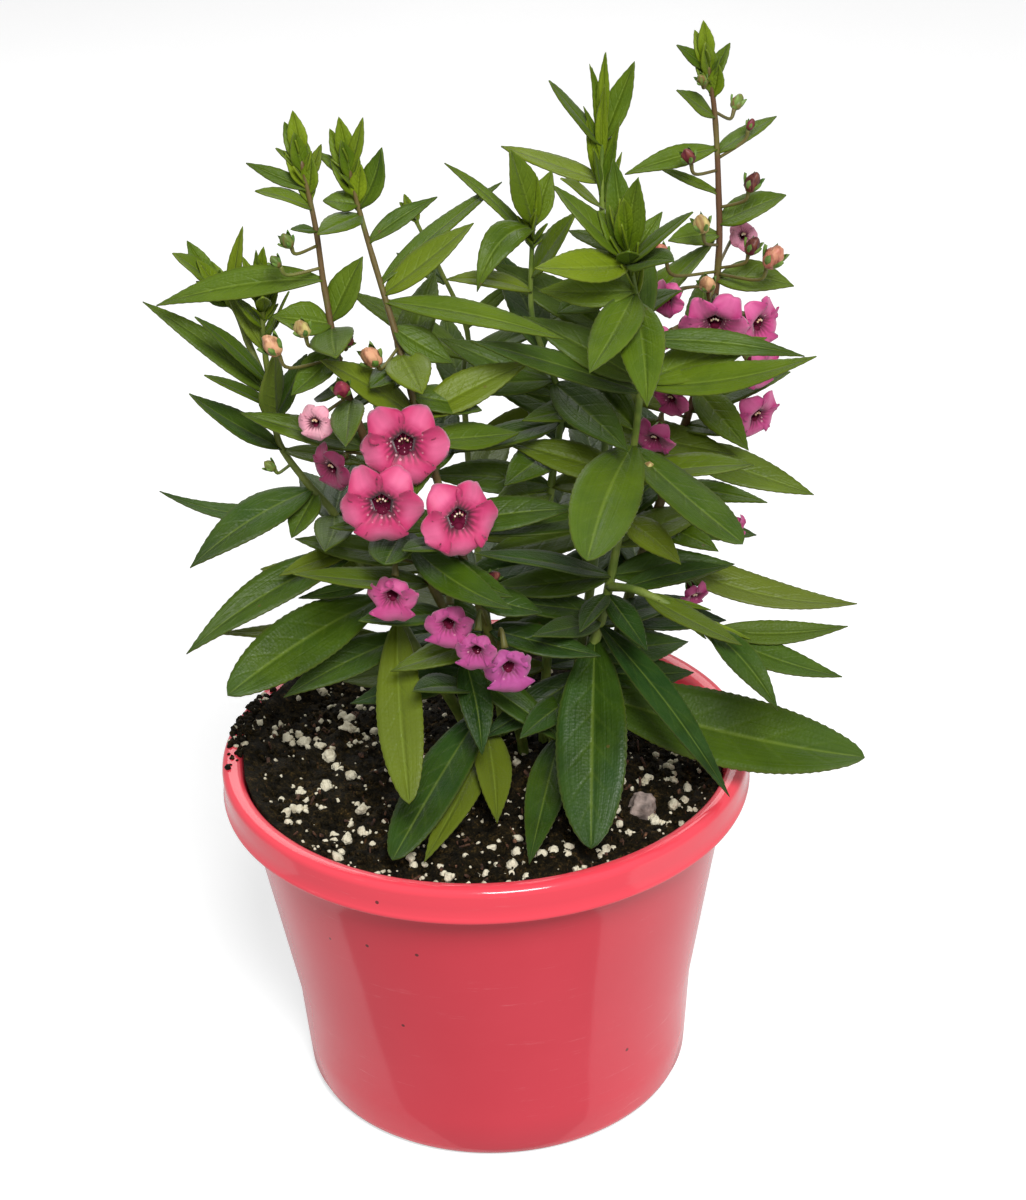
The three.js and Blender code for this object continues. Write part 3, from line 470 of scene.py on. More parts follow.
# Each shoot has the place where it leaves the soil, the places its stem passes, its girth at the soil and
# how red it is. A leaf is [height seen where it leaves the stem, its tip across, up, behind, its width, and
# its bend where that isn't the usual one]. A bud has its radius and its ripeness instead of the width. An
# apex is [leaves, length, width, spread]. A fill is [height seen from, height to, spacing, length, width]
# of the plain pairs of leaves. A bloom is [height seen at the stem, its throat across, up, behind, turned
# right, tilted up, width].
SHOOTS = {
    "left_spire": {
        "root": [3, -6],
        "girth": 1.7,
        "red": 0.9,
        "path": [
            [-7, 34, -12], [-21, 62, -18], [-33, 90, -18], [-39, 108, -16], [-43, 128, -12],
            [-45.5, 145, -10], [-49.7, 164, -7.7],
        ],
        "apex": [7, 10.5, 4.4, 0.55],
        "leaves": [
            [160, -56, 166, -8, 2.4], [155, -64, 162, -6, 3.8], [150, -61, 156, -14, 6, 0.1],
            [157, -44, 167, -6, 3.2], [144, -52, 144.5, -14, 2.8], [131, -88, 124, -8, 8, 0.06],
            [120, -33, 137, -12, 8], [119, -57, 121, -18, 8.5], [118, -45, 110, -38, 10.5],
            [99, -37.5, 86.5, -46, 8], [64, -27, 55, -40, 11.5], [60, 7, 43, -47, 9.5, -0.06],
            [50, -46, 50, -46, 8], [30, -1, 4, -32, 8.5], [16, -25, -24, -52, 14], [12, 3, -14, -42, 9.5],
            [10, -17, -21, -54, 9], [109, -48, 104, 8, 8], [78, -16, 92, 14, 9], [42, -34, 40, -28, 9.5],
            [22, -20, 18, -38, 9], [112, -52, 100, -26, 8], [102, -46, 99, -6, 7],
        ],
        "fill": [26, 100, 15, 32, 9],
        "buds": [
            [140, -53, 141, -18, 1.9, 0.08], [134, -56, 135.5, -16, 1.5, 0.02],
            [115, -49, 117.5, -27, 2.2, 0.4], [110, -57, 113, -26, 2.7, 0.58],
            [106, -38.5, 101.5, -28, 2.3, 0.86], [116.4, -36.6, 114, -21, 1.4, 0.97],
        ],
        "blooms": [
            [100, -45.5, 93, -25, -20, 5, 10], [84, -41, 81, -24, -40, -10, 13],
            [82, -22, 87.5, -31, 5, 0, 22], [70, -27.8, 71.5, -35, -6, -3, 21.5],
            [55, -25, 47, -32, -15, -42, 12],
        ],
    },
    "left_twin": {
        "root": [10, 2],
        "girth": 1.6,
        "red": 0.8,
        "path": [
            [1, 36, -14], [-8, 62, -22], [-17, 90, -19], [-24, 116, -12], [-30, 136, -7], [-34, 150, -5],
            [-37, 162, -4],
        ],
        "apex": [7, 11, 4.2, 0.6],
        "leaves": [
            [158, -45, 165, 0, 3.6], [150, -28, 166, -6, 6.5, -0.1], [160, -33, 174, -4, 3.4],
            [151, -43.5, 152, -6, 6.5], [148, -45, 143, -18, 7.5], [141, -13, 153, 0, 4.6],
            [130, 4.3, 157, 14, 5.2, 0.06], [127, -3.4, 146, -8, 8.6], [125, 21, 115, -30, 7.2],
            [108, -31, 102, -26, 8], [111, -17, 100.5, -34, 10.5], [118, -9, 108, -16, 8],
            [105, -38, 96, -10, 8], [88, 9, 90, -8, 8], [60, -18, 58, -44, 9], [90, -30, 96, 18, 9],
            [92, -19, 75, -34, 9], [47, 15, 42, -24, 9], [36, -28, 30, -20, 9], [100, -1, 96, -16, 9],
        ],
        "fill": [24, 110, 14, 30, 9.5],
        "buds": [[113, -30.5, 110, -22, 2.8, 0.6], [56, 2, 51.5, -27, 1.8, 0.95]],
        "blooms": [
            [74, -7.5, 67.5, -33, 22, 4, 21.5], [46, -10, 39.5, -31, -8, -42, 12],
            [38, -2.5, 32.5, -33, -10, -44, 10.5], [30, 6, 28, -28, 12, -40, 12.5],
        ],
    },
    "left_low": {
        "root": [-3, 3],
        "girth": 1.8,
        "red": 0.25,
        "path": [
            [-19, 33, -6], [-30, 49, -8], [-36, 60, -8], [-41, 69, -7], [-48, 77, -6], [-55, 87, -5],
            [-57, 98, -6], [-59, 112, -6], [-60, 127, -6],
        ],
        "apex": [6, 12, 3.6, 1],
        "leaves": [
            [112, -69, 127, -2, 4.2], [100, -91.5, 125, -2, 6.6], [103, -77.5, 121, -12, 5],
            [97, -75, 105.5, -18, 5.6], [94, -48, 111, -12, 7], [93, -58, 112, -20, 8],
            [120, -64, 135, -12, 3], [112.7, -55, 131, -14, 5], [86, -79, 100.5, -12, 7.6, -0.1],
            [85.4, -31, 84, -20, 4.8], [72, -87, 74.5, -2, 5.4, -0.26], [75, -79, 54, -28, 11, 0.08],
            [68, -43, 58.5, -36, 9.5], [58, -80, 31, -32, 10.5, 0.12], [59, -55, 56, -22, 5.4],
            [50, -50, 46, -16, 4], [32, -71.5, 36.5, -14, 7, 0.05], [46, -69, 20, -38, 15, 0.07],
            [36, -54, 19.5, -26, 9.5], [40, -20.5, -9, -50, 11.5], [66, -50, 80, 26, 9],
            [74, -52, 62, -16, 8],
        ],
        "fill": [26, 70, 14, 26, 9],
        "buds": [[82, -57.5, 81, -8, 1.6, 0.15]],
        "blooms": [],
        "branch": {
            "at": 99,
            "path": [[-63, 113, -2], [-67, 123, 0], [-73, 131, 2]],
            "apex": [6, 11, 4.4, 0.6],
            "leaves": [[124, -65, 145, 2, 3.6], [129, -83.5, 138, -2, 7]],
        },
    },
    "back_left": {
        "root": [5, 12],
        "girth": 1.4,
        "red": 0.2,
        "path": [[0, 42, 18], [-4, 75, 24], [-6, 104, 28], [-5, 117, 28], [-13, 135, 30], [-20, 149, 30]],
        "apex": [3, 5, 2.2, 1],
        "leaves": [[118, 9, 131, 36, 4], [130, -24, 138, 44, 5], [100, -16, 99, 10, 7]],
        "fill": [26, 112, 12, 34, 10],
        "buds": [],
        "blooms": [],
    },
    "back_young": {
        "root": [16, 9],
        "girth": 1.6,
        "red": 0,
        "path": [[17, 45, 9], [17, 72, 10], [20, 97, 8], [15, 112, 8], [12, 124, 8], [12.5, 146, 6]],
        "apex": [3, 12, 3.8, 0.56],
        "leaves": [
            [146, 6.5, 165.5, 0, 8.4], [145.4, 17.5, 160, 10, 6.4], [141, -11, 162, 10, 4.2, 0.05],
            [144.6, -2.5, 127.5, -10, 8, 0.5], [128, -10.5, 131, -2, 6.5, 0.1], [132, 24, 149, -2, 8],
            [104, -14, 102, -6, 8], [93, -9, 88, -14, 8.5], [103.4, 38, 85, -22, 11], [86, 5, 76, -14, 9.5],
            [56, -9, 50, -6, 9], [74, 2, 71, -4, 9],
        ],
        "fill": [28, 112, 12, 33, 10],
        "buds": [],
        "blooms": [],
    },
    "tall_centre": {
        "root": [23, 8],
        "girth": 1.7,
        "red": 0,
        "path": [[28, 50, 9], [32, 90, 12], [33, 120, 12], [31, 148, 12], [31, 170, 12]],
        "apex": [6, 19.5, 4.8, 0.34],
        "leaves": [
            [167, 17, 184, 8, 6, -0.06], [167.7, 39.5, 189, 14, 6, -0.06], [157, 4, 166.5, 18, 7.5],
            [150, 20, 158, 0, 5], [118, 52, 128, -4, 8], [98, 10, 96, -6, 9], [128, 19, 122, 2, 8.5],
        ],
        "fill": [26, 124, 13, 34, 10.5],
        "buds": [],
        "blooms": [],
    },
    "front_star": {
        "root": [18, -4],
        "girth": 2,
        "red": 0.1,
        "path": [
            [25, 22, -5], [30, 38, -5], [33, 50, -5], [38, 78, -7], [41, 100, -10], [41, 120, -14],
            [37.5, 139, -19],
        ],
        "apex": [3, 14, 5.6, 1],
        "leaves": [
            [137, 34, 163, -14, 7], [137.7, 40.5, 158, -24, 7], [135.4, 55, 149, -32, 7],
            [136, 47, 149, -14, 5], [136.6, 18, 156, -18, 7.6], [134.8, 13, 134, -32, 9.5],
            [135, 50, 136, -38, 8], [128, 14, 128, -16, 8.5], [127.4, 27.5, 106, -42, 11],
            [125, 43, 97, -48, 10.5], [115, 85, 110.5, -18, 6.4], [103, 88, 110.5, -30, 8.5, -0.1],
            [101, -4, 114.5, -20, 8.8], [87, 27, 56, -54, 16], [86, 68.5, 60.5, -44, 12.5],
            [70, -5, 63, -22, 9.4], [52, -3, 58, -36, 8.8], [47, 25, 37, -26, 6], [40, 12, 33, -30, 7.5],
            [47, 43, 32, -30, 7], [35, 28, -21, -52, 18], [22, 101, 3.5, -36, 20, -0.1], [39, 65, -7, -56, 8],
            [20, 9, 8.5, -30, 8], [9, 11.5, -25, -53, 10], [14, 34, 2, -34, 9], [60, 56, 72, 20, 10],
            [30, 46, 38, 20, 11], [68, 52, 55, -28, 7.5], [42, 2, 44, -16, 9], [138, 22, 144, -6, 7],
        ],
        "fill": [26, 122, 13, 32, 10],
        "buds": [[80, 43, 80, -14, 2.2, 0.42]],
        "blooms": [],
        "branch": {
            "at": 49,
            "path": [[40, 48, -14], [50, 43.5, -20], [62, 36.5, -25]],
            "apex": [2, 16, 4, 1],
            "leaves": [
                [48.5, 64.5, 54.5, -16, 6.4], [37.5, 96.5, 38.5, -32, 6.4, -0.1], [37, 95, 25, -42, 8, -0.08],
                [38, 78, 16, -46, 7.4, 0.12], [47, 70, 34.5, -34, 7],
            ],
        },
    },
    "right_raceme": {
        "root": [29, 4],
        "girth": 1.7,
        "red": 1,
        "path": [
            [38, 46, 10], [46, 70, 12], [53, 92, 13], [59, 112, 13], [62, 136, 13], [62, 155, 14],
            [61, 175, 16], [59, 189, 16],
        ],
        "apex": [6, 10, 4, 0.5],
        "leaves": [
            [187, 51, 193.5, 14, 3.6], [183, 65, 194, 18, 4.2], [174.4, 51, 181.5, 10, 5.4],
            [165, 77.5, 174.5, 20, 5.6], [166, 37, 159, 6, 5.6, 0.08], [154, 45, 161.5, 22, 2.6],
            [146, 80, 153.5, 12, 9], [143, 50, 138, 6, 6.6], [131, 82, 128.5, 8, 9.4, 0.1],
            [86, 87.5, 73.5, 0, 11], [76, 75, 71.5, -8, 6], [60, 99, 44.5, -6, 11, -0.12],
            [102, 72, 86, -8, 9], [92, 66, 90, 2, 7], [66, 62, 58.5, -2, 8],
        ],
        "fill": [26, 114, 14, 28, 9.5],
        "buds": [
            [185, 57.5, 184, 10, 1.5, 0.1], [175.6, 67, 178, 24, 1.8, 0.1], [160, 54, 163.5, 4, 1.9, 0.95],
            [163, 70.5, 172, 14, 1.3, 0.95], [150, 71, 156.5, 8, 2.3, 1], [140, 57.5, 145.5, 2, 2.3, 0.42],
            [133, 47, 138, 0, 2, 0.68], [132.4, 76.5, 136.5, 2, 2.9, 0.66], [133.8, 71, 139.5, 8, 2.2, 0.98],
            [130, 59, 129.5, -2, 2.2, 0.55],
        ],
        "blooms": [
            [126, 61, 120, -3, -8, -24, 18], [124, 72.5, 119.5, 4.5, 40, -6, 15.5],
            [116, 73, 107.5, -1, 36, -14, 13], [134, 68.5, 142.5, 20, 20, 30, 8],
            [129.4, 48.5, 126, 5, -40, 0, 10], [111.4, 46, 115.5, 0, -50, 0, 8],
            [106, 50, 107.5, 4, -40, -5, 8], [100, 49.5, 99.5, 3, -38, -15, 11],
            [94, 45, 89, 1, -25, -28, 12], [96, 72, 95, 6, 36, -20, 15], [65.4, 67, 65, 8, 50, -5, 7],
            [52, 55.5, 47, -2, 20, -30, 8.5],
        ],
    },
}



def seen_up(point):
    """How high a place is seen."""
    ray = point - EYE
    scale = -EYE_DISTANCE / ray.dot(SIGHT_BACK)
    return (-ray.x * math.sin(EYE_ROLL) + ray.dot(SIGHT_UP) * math.cos(EYE_ROLL)) * scale


def on_stem(points, up):
    """The place on a stem that is seen at a height."""
    heights = [seen_up(point) for point in points]
    for i in range(1, len(points)):
        if (heights[i] - up) * (heights[i - 1] - up) <= 0:
            return points[i - 1].lerp(points[i], (up - heights[i - 1]) / (heights[i] - heights[i - 1]))
    return points[-1].copy()


def eased(points, steps):
    """A smooth run of points through the given ones."""
    ends = [2 * points[0] - points[1], *points, 2 * points[-1] - points[-2]]
    run = []
    for a, b, c, d in zip(ends, ends[1:], ends[2:], ends[3:]):
        for step in range(steps):
            t = step / steps
            bent = (2 * a - 5 * b + 4 * c - d) * t ** 2 + (3 * b - a - 3 * c + d) * t ** 3
            run.append(0.5 * (2 * b + (c - a) * t + bent))
    return run + [points[-1]]


def grid(bm, across, along):
    """A flat grid of so many squares across and along, from -1 to 1 both ways, with its pattern laid out."""
    return bmesh.ops.create_grid(bm, x_segments=across, y_segments=along, size=1, calc_uvs=True)["verts"]


def swung(first, second, turn):
    """The direction that lies a turn round from one direction towards another."""
    return first * math.cos(turn) + second * math.sin(turn)


def tube(bm, points, radii, sides, axes=None):
    """A closed tube round a row of points: a grid that is rolled up, joined at its seam and capped."""
    last = len(points) - 1
    made = grid(bm, sides, last)
    for vert in made:
        turn, step = math.pi * vert.co.x, round((vert.co.y + 1) / 2 * last)
        if axes:
            side, other = axes
        else:
            along = (points[min(step + 1, last)] - points[max(step - 1, 0)]).normalized()
            side = along.cross(Vector((0.1, 1, 0))).normalized()
            other = along.cross(side)
        vert.co = points[step] + radii[step] * swung(side, other, turn)
    faces = faces_of(made)
    bmesh.ops.remove_doubles(bm, verts=made, dist=0.004)
    faces = [face for face in faces if face.is_valid]
    rims = dict.fromkeys(edge for face in faces for edge in face.edges if edge.is_boundary)
    faces += bmesh.ops.holes_fill(bm, edges=list(rims), sides=0)["faces"]
    bmesh.ops.recalc_face_normals(bm, faces=faces)
    return faces


def blank(*values):
    """A new mesh, with room for a pattern and for the values that its finish reads at each point."""
    bm = bmesh.new()
    bm.loops.layers.uv.new("UVMap")
    for value in values:
        bm.verts.layers.float.new(value)
    return bm


def mark(bm, faces, **values):
    """Gives the points of some faces the values that their finish reads."""
    for value, amount in values.items():
        layer = bm.verts.layers.float[value]
        for vert in {vert for face in faces for vert in face.verts}:
            vert[layer] = amount(vert.co) if callable(amount) else amount


def marked(tree, value):
    return put(tree, "Attribute", attribute_name=value).outputs["Fac"]


stem_skin, tree, shader = new_finish("stem_skin", 0.5)
flush = calc(tree, "MULTIPLY", marked(tree, "red"), use(tree, patches, Scale=90, Low=0.1, High=0.5))
skin = mixed(tree, use(tree, patches, Scale=200), (88, 112, 36), (122, 140, 56))
dress(tree, shader, mixed(tree, flush, skin, (98, 66, 42)), None, clouds(tree, (2600, 2600, 160)))

stems = {}
stem_meshes = {}
for name, shoot in SHOOTS.items():
    x, y = shoot["root"]
    foot = [Vector((x, y, SOIL_TOP - STEM_DEPTH)), Vector((x, y, SOIL_TOP + STEM_FOOT))]
    rows = [foot + [seen(*spot) for spot in shoot["path"]]]
    if "branch" in shoot:
        fork = on_stem(rows[0], shoot["branch"]["at"])
        rows.append([fork] + [seen(*spot) for spot in shoot["branch"]["path"]])
    stems[name] = rows
    stem_meshes[name] = bm = blank("red", "ripe")
    for row, (thick, thin) in zip(rows, [(1, 0.36), (0.6, 0.4)]):
        run = eased(row, 6)
        last = len(run) - 1
        # A stem thins towards its tip, and swells a little at each of its joints.
        taper = [thin + (thick - thin) * (1 - step / last) ** 1.5 for step in range(last + 1)]
        swell = [1 + 0.12 * max(0, math.sin(1.1 * step)) ** 6 for step in range(last + 1)]
        radii = [shoot["girth"] * share * more for share, more in zip(taper, swell)]
        stem = tube(bm, run, radii, 10)
        mark(bm, stem, red=lambda spot: shoot["red"] * min(1, max(0, (spot.z - RED_FROM) / RED_RISE)))

# Flower stalks and buds
# Each bud and each bloom has a thin stalk of its own out of the stem. A bud is a round of folded petals in
# a green cup of five sepals. It is green at first, then yellow and salmon pink, and dark when it withers.
PEDICEL_RADIUS = 0.4
BUD_SEAT_RADIUS = 0.6
CUP_RADIUS = 1.1
BLOOM_SEAT = 4.5
# How long the sepals of a bud are and how far they spread, as shares of its radius.
BUD_SEPALS = (1.8, 1.24)

bud_skin, tree, shader = new_finish("bud_skin", 0.5)
uneven = calc(tree, "MULTIPLY_ADD", clouds(tree, 500), 0.2, -0.1)
skin = graded(
    tree, calc(tree, "ADD", marked(tree, "ripe"), uneven, clamp=True),
    [0.05, 88, 112, 40], [0.25, 142, 152, 66], [0.42, 204, 186, 116], [0.6, 216, 158, 120],
    [0.72, 192, 100, 92], [0.86, 146, 34, 70], [0.97, 72, 22, 24],
)
folds = clouds(tree, (700, 700, 260), Distortion=0.6)
skin = tinted(tree, skin, band(tree, folds, 0.42, 0.66), 0.65, (128, 70, 48))
dress(tree, shader, skin, None, folds, depth=0.6, strength=0.6)

sepal_skin, tree, shader = new_finish("sepal_skin", 0.5)
dress(tree, shader, mixed(tree, use(tree, patches, Scale=400), (86, 122, 44), (124, 150, 70)))


def stalk_to(bm, start, end, look, thick):
    """A thin stalk that leaves a stem and turns to end in line with what it bears."""
    knee = end - 0.3 * (end - start).length * look
    run = eased([start, knee, end], 5)
    last = len(run) - 1
    radii = [PEDICEL_RADIUS + (thick - PEDICEL_RADIUS) * (step / last) ** 3 for step in range(last + 1)]
    return tube(bm, run, radii, 7)


def square_to(look):
    """Two directions square to a direction and to each other: to the right of it, and up."""
    right = UP.cross(look).normalized()
    return right, look.cross(right)


def sepals(bm, spot, look, reach, spread, number):
    """Five pointed sepals round the back of a bud or a bloom."""
    right, up = square_to(look)
    for count in range(5):
        turn = 2 * math.pi * (count + 0.5) / 5
        out, side = swung(right, up, turn), swung(up, -right, turn)
        made = grid(bm, 4, 5)
        for vert in made:
            across, share = vert.co.x, (vert.co.y + 1) / 2
            half = 0.42 * spread * (1 - share) ** 0.6 * (0.5 + share)
            flare = spread * math.sin(1.25 * share + 0.25) * (1 - 0.25 * across * across)
            vert.co = spot + look * reach * share + out * flare + side * half * across
        set_finish(faces_of(made), number)


def bud(bm, spot, look, radius, ripe):
    """A round bud that comes to a soft point, with its sepals."""
    right, up = square_to(look)
    made = bmesh.ops.create_icosphere(bm, subdivisions=3, radius=radius)["verts"]
    for vert in made:
        x, y, z = vert.co
        point = 1.05 + 0.3 * max(0, z / radius) ** 3
        crease = 1 - 0.16 * abs(math.cos(1.5 * math.atan2(y, x) + radius)) ** 4 * max(0, z / radius + 0.4)
        vert.co = spot + (right * x + up * y * 0.86) * crease * 0.92 + look * z * point
        vert.co += 0.12 * radius * noise.noise_vector(vert.co * 0.9)
    set_finish(faces_of(made), 1)
    mark(bm, faces_of(made), ripe=ripe)
    reach, spread = BUD_SEPALS
    sepals(bm, spot - look * radius * 1.05, look, reach * radius, spread * radius, 2)


def facing(turn, tilt):
    turn, tilt = math.radians(turn), math.radians(tilt)
    return Vector((math.sin(turn) * math.cos(tilt), -math.cos(turn) * math.cos(tilt), math.sin(tilt)))


for name, shoot in SHOOTS.items():
    stem, bm = stems[name][0], stem_meshes[name]
    red = 0.7 * shoot["red"]
    for at, across, up, behind, radius, ripe in shoot["buds"]:
        start, spot = on_stem(stem, at), seen(across, up, behind)
        look = ((spot - start).normalized() + UP).normalized()
        mark(bm, stalk_to(bm, start, spot - look * radius, look, BUD_SEAT_RADIUS), red=red)
        bud(bm, spot, look, radius, ripe)
    for at, across, up, behind, turn, tilt, width in shoot["blooms"]:
        look = facing(turn, tilt)
        seat = seen(across, up, behind) - look * BLOOM_SEAT
        mark(bm, stalk_to(bm, on_stem(stem, at), seat, look, CUP_RADIUS), red=red)
    keep(bm, name + "_stem", [stem_skin, bud_skin, sepal_skin], "foliage", name)

# The leaves
# Lance-shaped leaves without stalks, in pairs, glossy above and paler below, folded a little along a
# sunken midrib, with slanting side veins and fine teeth towards the tip. The end of each shoot is a star
# of young, yellower leaves. A leaf grows out of the stem, and is solid to its edge.
BLADE_FACING = Vector((0, -0.5, 1))
BLADE_ARCH = 0.02
BLADE_FOLDS = (0.1, 0.34)
BLADE_ROLLS = (-0.3, 0.3)
BLADE_WAVES = (0, 0.07)
BLADE_BOWS = (-0.03, 0.03)
LEAF_THICKNESS = 0.45
LEAF_FOOT = 0.7
ROW_SPACING = 1.1
NARROW_WIDTH = 5
BROAD_WIDTH = 11
TOOTH = 0.05
NUDGE_STEP = 5
NUDGE_STEPS = 8
NUDGE_WAYS = [(1, 0), (-1, 0), (0, 1), (0, -1), (1, 1), (-1, 1), (1, -1), (-1, -1)]
# The filled pairs droop at the foot of a shoot and rise higher up. These are their slopes in degrees, and
# the heights seen that have them.
LOW_SLOPE, HIGH_SLOPE = -16, 42
LOW_PAIR, HIGH_PAIR = 20, 140
FRONT_SHARE = -0.5
YOUNG_FROM = 120
YOUNG_RISE = 200
# The star of a shoot leans out by these degrees: its first leaf, its next one, and its last one. It has
# small inner leaves, which open wider where its own leaves are short. Long ones are slimmer than listed.
STAR_LEANS = (6, 24, 44)
STAR_YOUTH = 0.75
GOLDEN_TURN = math.radians(137.5)
INNER_LEAVES = 9
SHORT_STAR = 12.5
LONG_STAR = 15
SLIMMER = 0.62


def nudged(base, tip, turn, lift):
    """The tip of a leaf that is turned and lifted about its base, by degrees."""
    chord = tip - base
    heading = math.atan2(chord.y, chord.x) + math.radians(turn)
    rise = math.atan2(chord.z, math.hypot(chord.x, chord.y)) + math.radians(lift)
    flat = chord.length * math.cos(rise)
    return base + Vector((flat * math.cos(heading), flat * math.sin(heading), chord.length * math.sin(rise)))


def tip_in_frame(corners, base, tip):
    """Where the leaf's tip is in the frame, which turned and lifted some leaves clear of each other."""
    steps = [0] + [step for step in range(1, NUDGE_STEPS + 1) for _ in NUDGE_WAYS]
    for step, (turn, lift) in zip(steps, [(0, 0)] + NUDGE_WAYS * NUDGE_STEPS):
        end = nudged(base, tip, turn * step * NUDGE_STEP, lift * step * NUDGE_STEP)
        if corners.find(end * MM)[2] < 0.1 * MM:
            return end
    return None


def apex_tips(points, count, length, spread):
    """The young leaves round the end of a stem, the inner ones the most upright."""
    first, inner, outer = STAR_LEANS
    below, end = points[-2:]
    along = (end - below).normalized()
    side = (Vector((1, 0, 0)) - along * along.x).normalized()
    other = along.cross(side)
    for i in range(count):
        turn = i * GOLDEN_TURN
        lean = math.radians((first if i == 0 else inner + (outer - inner) * i / count) * spread)
        base = end + along * (-i * length / 6 - 0.3)
        reach = length * (1 - 0.2 * i / count)
        yield base, base + reach * swung(along, swung(side, other, turn), lean)


def fill_tips(points, low, high, spacing, length, offset):
    """The plain pairs of leaves, each pair square to the one below. None points at the front."""
    up, node = low, offset
    while up <= high:
        base = on_stem(points, up)
        rise = LOW_SLOPE + (up - LOW_PAIR) / (HIGH_PAIR - LOW_PAIR) * (HIGH_SLOPE - LOW_SLOPE)
        rise = math.radians(rise)
        for half in (0, math.pi):
            turn = half + node * math.pi / 2 + 0.35 * math.sin(2.4 * node)
            if math.sin(turn) >= FRONT_SHARE:
                flat = length * math.cos(rise)
                way = Vector((flat * math.cos(turn), flat * math.sin(turn), length * math.sin(rise)))
                yield base, base + way
        up, node = up + spacing, node + 1


def fullness(share, width):
    """How much of its width a leaf has at a share of its length."""
    peak, foot, end = (0.52, 0.7, 0.65) if width > BROAD_WIDTH else (0.41, 0.8, 1.15)
    return (share / peak) ** foot * ((1 - share) / (1 - peak)) ** end


def leaf(bm, base, tip, width, youth, bend=BLADE_ARCH):
    """One leaf: a grid of squares, bent over its midrib and drawn in to its outline."""
    chord = tip - base
    length = chord.length
    across = chord.cross(BLADE_FACING).normalized()
    middle = base.lerp(tip, 0.5) + chord.cross(UP).normalized().cross(chord) * bend
    rows, columns = max(12, round(length / ROW_SPACING)), 8 if width > NARROW_WIDTH else 6
    fold, roll = draws.uniform(*BLADE_FOLDS), draws.uniform(*BLADE_ROLLS)
    wave, phase, bow = draws.uniform(*BLADE_WAVES), draws.uniform(0, 6), draws.uniform(*BLADE_BOWS)
    made = grid(bm, columns, rows)
    for vert in made:
        side, share = vert.co.x, (vert.co.y + 1) / 2
        rib = base * (1 - share) ** 2 + middle * 2 * share * (1 - share) + tip * share ** 2
        rib += across * bow * length * math.sin(math.pi * share)
        tangent = ((middle - base) * (1 - share) + (tip - middle) * share).normalized()
        normal = across.cross(tangent)
        turn = roll * math.sin(math.pi * share)
        out, face = swung(across, normal, turn), swung(normal, -across, turn)
        half = max(width / 2 * fullness(share, width), LEAF_FOOT * (1 - share) ** 2)
        if abs(side) > 0.99 and 0.3 < share < 0.96 and round(share * rows) % 2:
            half += TOOTH + 0.01 * width
        lift = fold * abs(side) * (1 - 0.5 * share) + wave * side * side * math.sin(9 * share + phase + side)
        vert.co = rib + out * half * side + face * half * lift
    tone = draws.random()
    young = min(1, max(0, youth + draws.uniform(-0.12, 0.12)))
    mark(bm, faces_of(made), tone=tone, youth=young)
    bmesh.ops.remove_doubles(bm, verts=made, dist=0.01)


def fading(tree, value, low, high):
    """Falls smoothly from 1 to 0 while the value goes from low to high."""
    return calc(tree, "SUBTRACT", 1, band(tree, value, low, high))


def across_and_along(tree):
    """Where a point lies on a leaf or a lobe: across it from 0 to 1, and along it from 0 to 1."""
    return put(tree, "SeparateXYZ", {0: put(tree, "TexCoord").outputs["UV"]}).outputs[:2]


def leaf_skin(name, upper):
    """The finish of a leaf's upper or under side. Its pattern follows the leaf: across it, and along it."""
    material, tree, shader = new_finish(name, 0.4, specular=0.26 if upper else 0.2)
    shader.inputs["Sheen Weight"].default_value = 0.04
    shader.inputs["Sheen Roughness"].default_value = 0.4
    across, along = across_and_along(tree)
    side = calc(tree, "ABSOLUTE", calc(tree, "MULTIPLY_ADD", across, 2, -1))
    rib, groove = fading(tree, side, 0.015, 0.075), fading(tree, side, 0, 0.28)
    slant = calc(tree, "MULTIPLY", calc(tree, "MULTIPLY_ADD", side, -0.2, along), 7)
    line = calc(tree, "ABSOLUTE", calc(tree, "SUBTRACT", calc(tree, "FRACT", slant), 0.5))
    veins = calc(tree, "MULTIPLY", fading(tree, line, 0, 0.16), calc(tree, "SUBTRACT", 1, side))
    stripe = clouds(tree, (26, 1.5, 1), 3, place="UV", Distortion=0.3)
    cloud = calc(tree, "MULTIPLY_ADD", clouds(tree, 110, 4), 0.9, -0.5)
    tone = calc(tree, "MULTIPLY_ADD", marked(tree, "tone"), 0.6, cloud)
    tone = calc(tree, "MULTIPLY_ADD", stripe, 0.5, tone, clamp=True)
    if upper:
        blue = mixed(tree, tone, (30, 60, 18), (62, 90, 28))
        skin = mixed(tree, tone, (20, 42, 2), (64, 92, 6))
        skin = mixed(tree, use(tree, patches, Scale=60), skin, blue)
        skin = tinted(tree, skin, band(tree, marked(tree, "tone"), 0.74, 0.92), 0.55, (112, 120, 30))
    else:
        skin = mixed(tree, tone, (74, 96, 34), (108, 126, 54))
    skin = mixed(tree, marked(tree, "youth"), skin, mixed(tree, tone, (66, 94, 6), (124, 144, 20)))
    skin = tinted(tree, skin, veins, 0.1, (110, 134, 44))
    skin = tinted(tree, skin, rib, 0.26, (136, 156, 62))
    skin = tinted(tree, skin, band(tree, side, 0.9, 1), 0.2, (104, 104, 34))
    skin = tinted(tree, skin, use(tree, specks, Scale=260, Size=0.12, Share=0.05), 0.5, (96, 74, 36))
    grain = calc(tree, "MULTIPLY", cells(tree, 1300)["Distance"], 0.16)
    grain = calc(tree, "MULTIPLY_ADD", stripe, 0.5, grain)
    sunk = -1 if upper else 1
    height = calc(tree, "MULTIPLY_ADD", groove, sunk, calc(tree, "MULTIPLY_ADD", veins, 0.28 * sunk, grain))
    wax = calc(tree, "MULTIPLY_ADD", stripe, 0.25, 0.27 if upper else 0.45)
    dress(tree, shader, skin, wax, height, depth=0.6, strength=0.7)
    return material


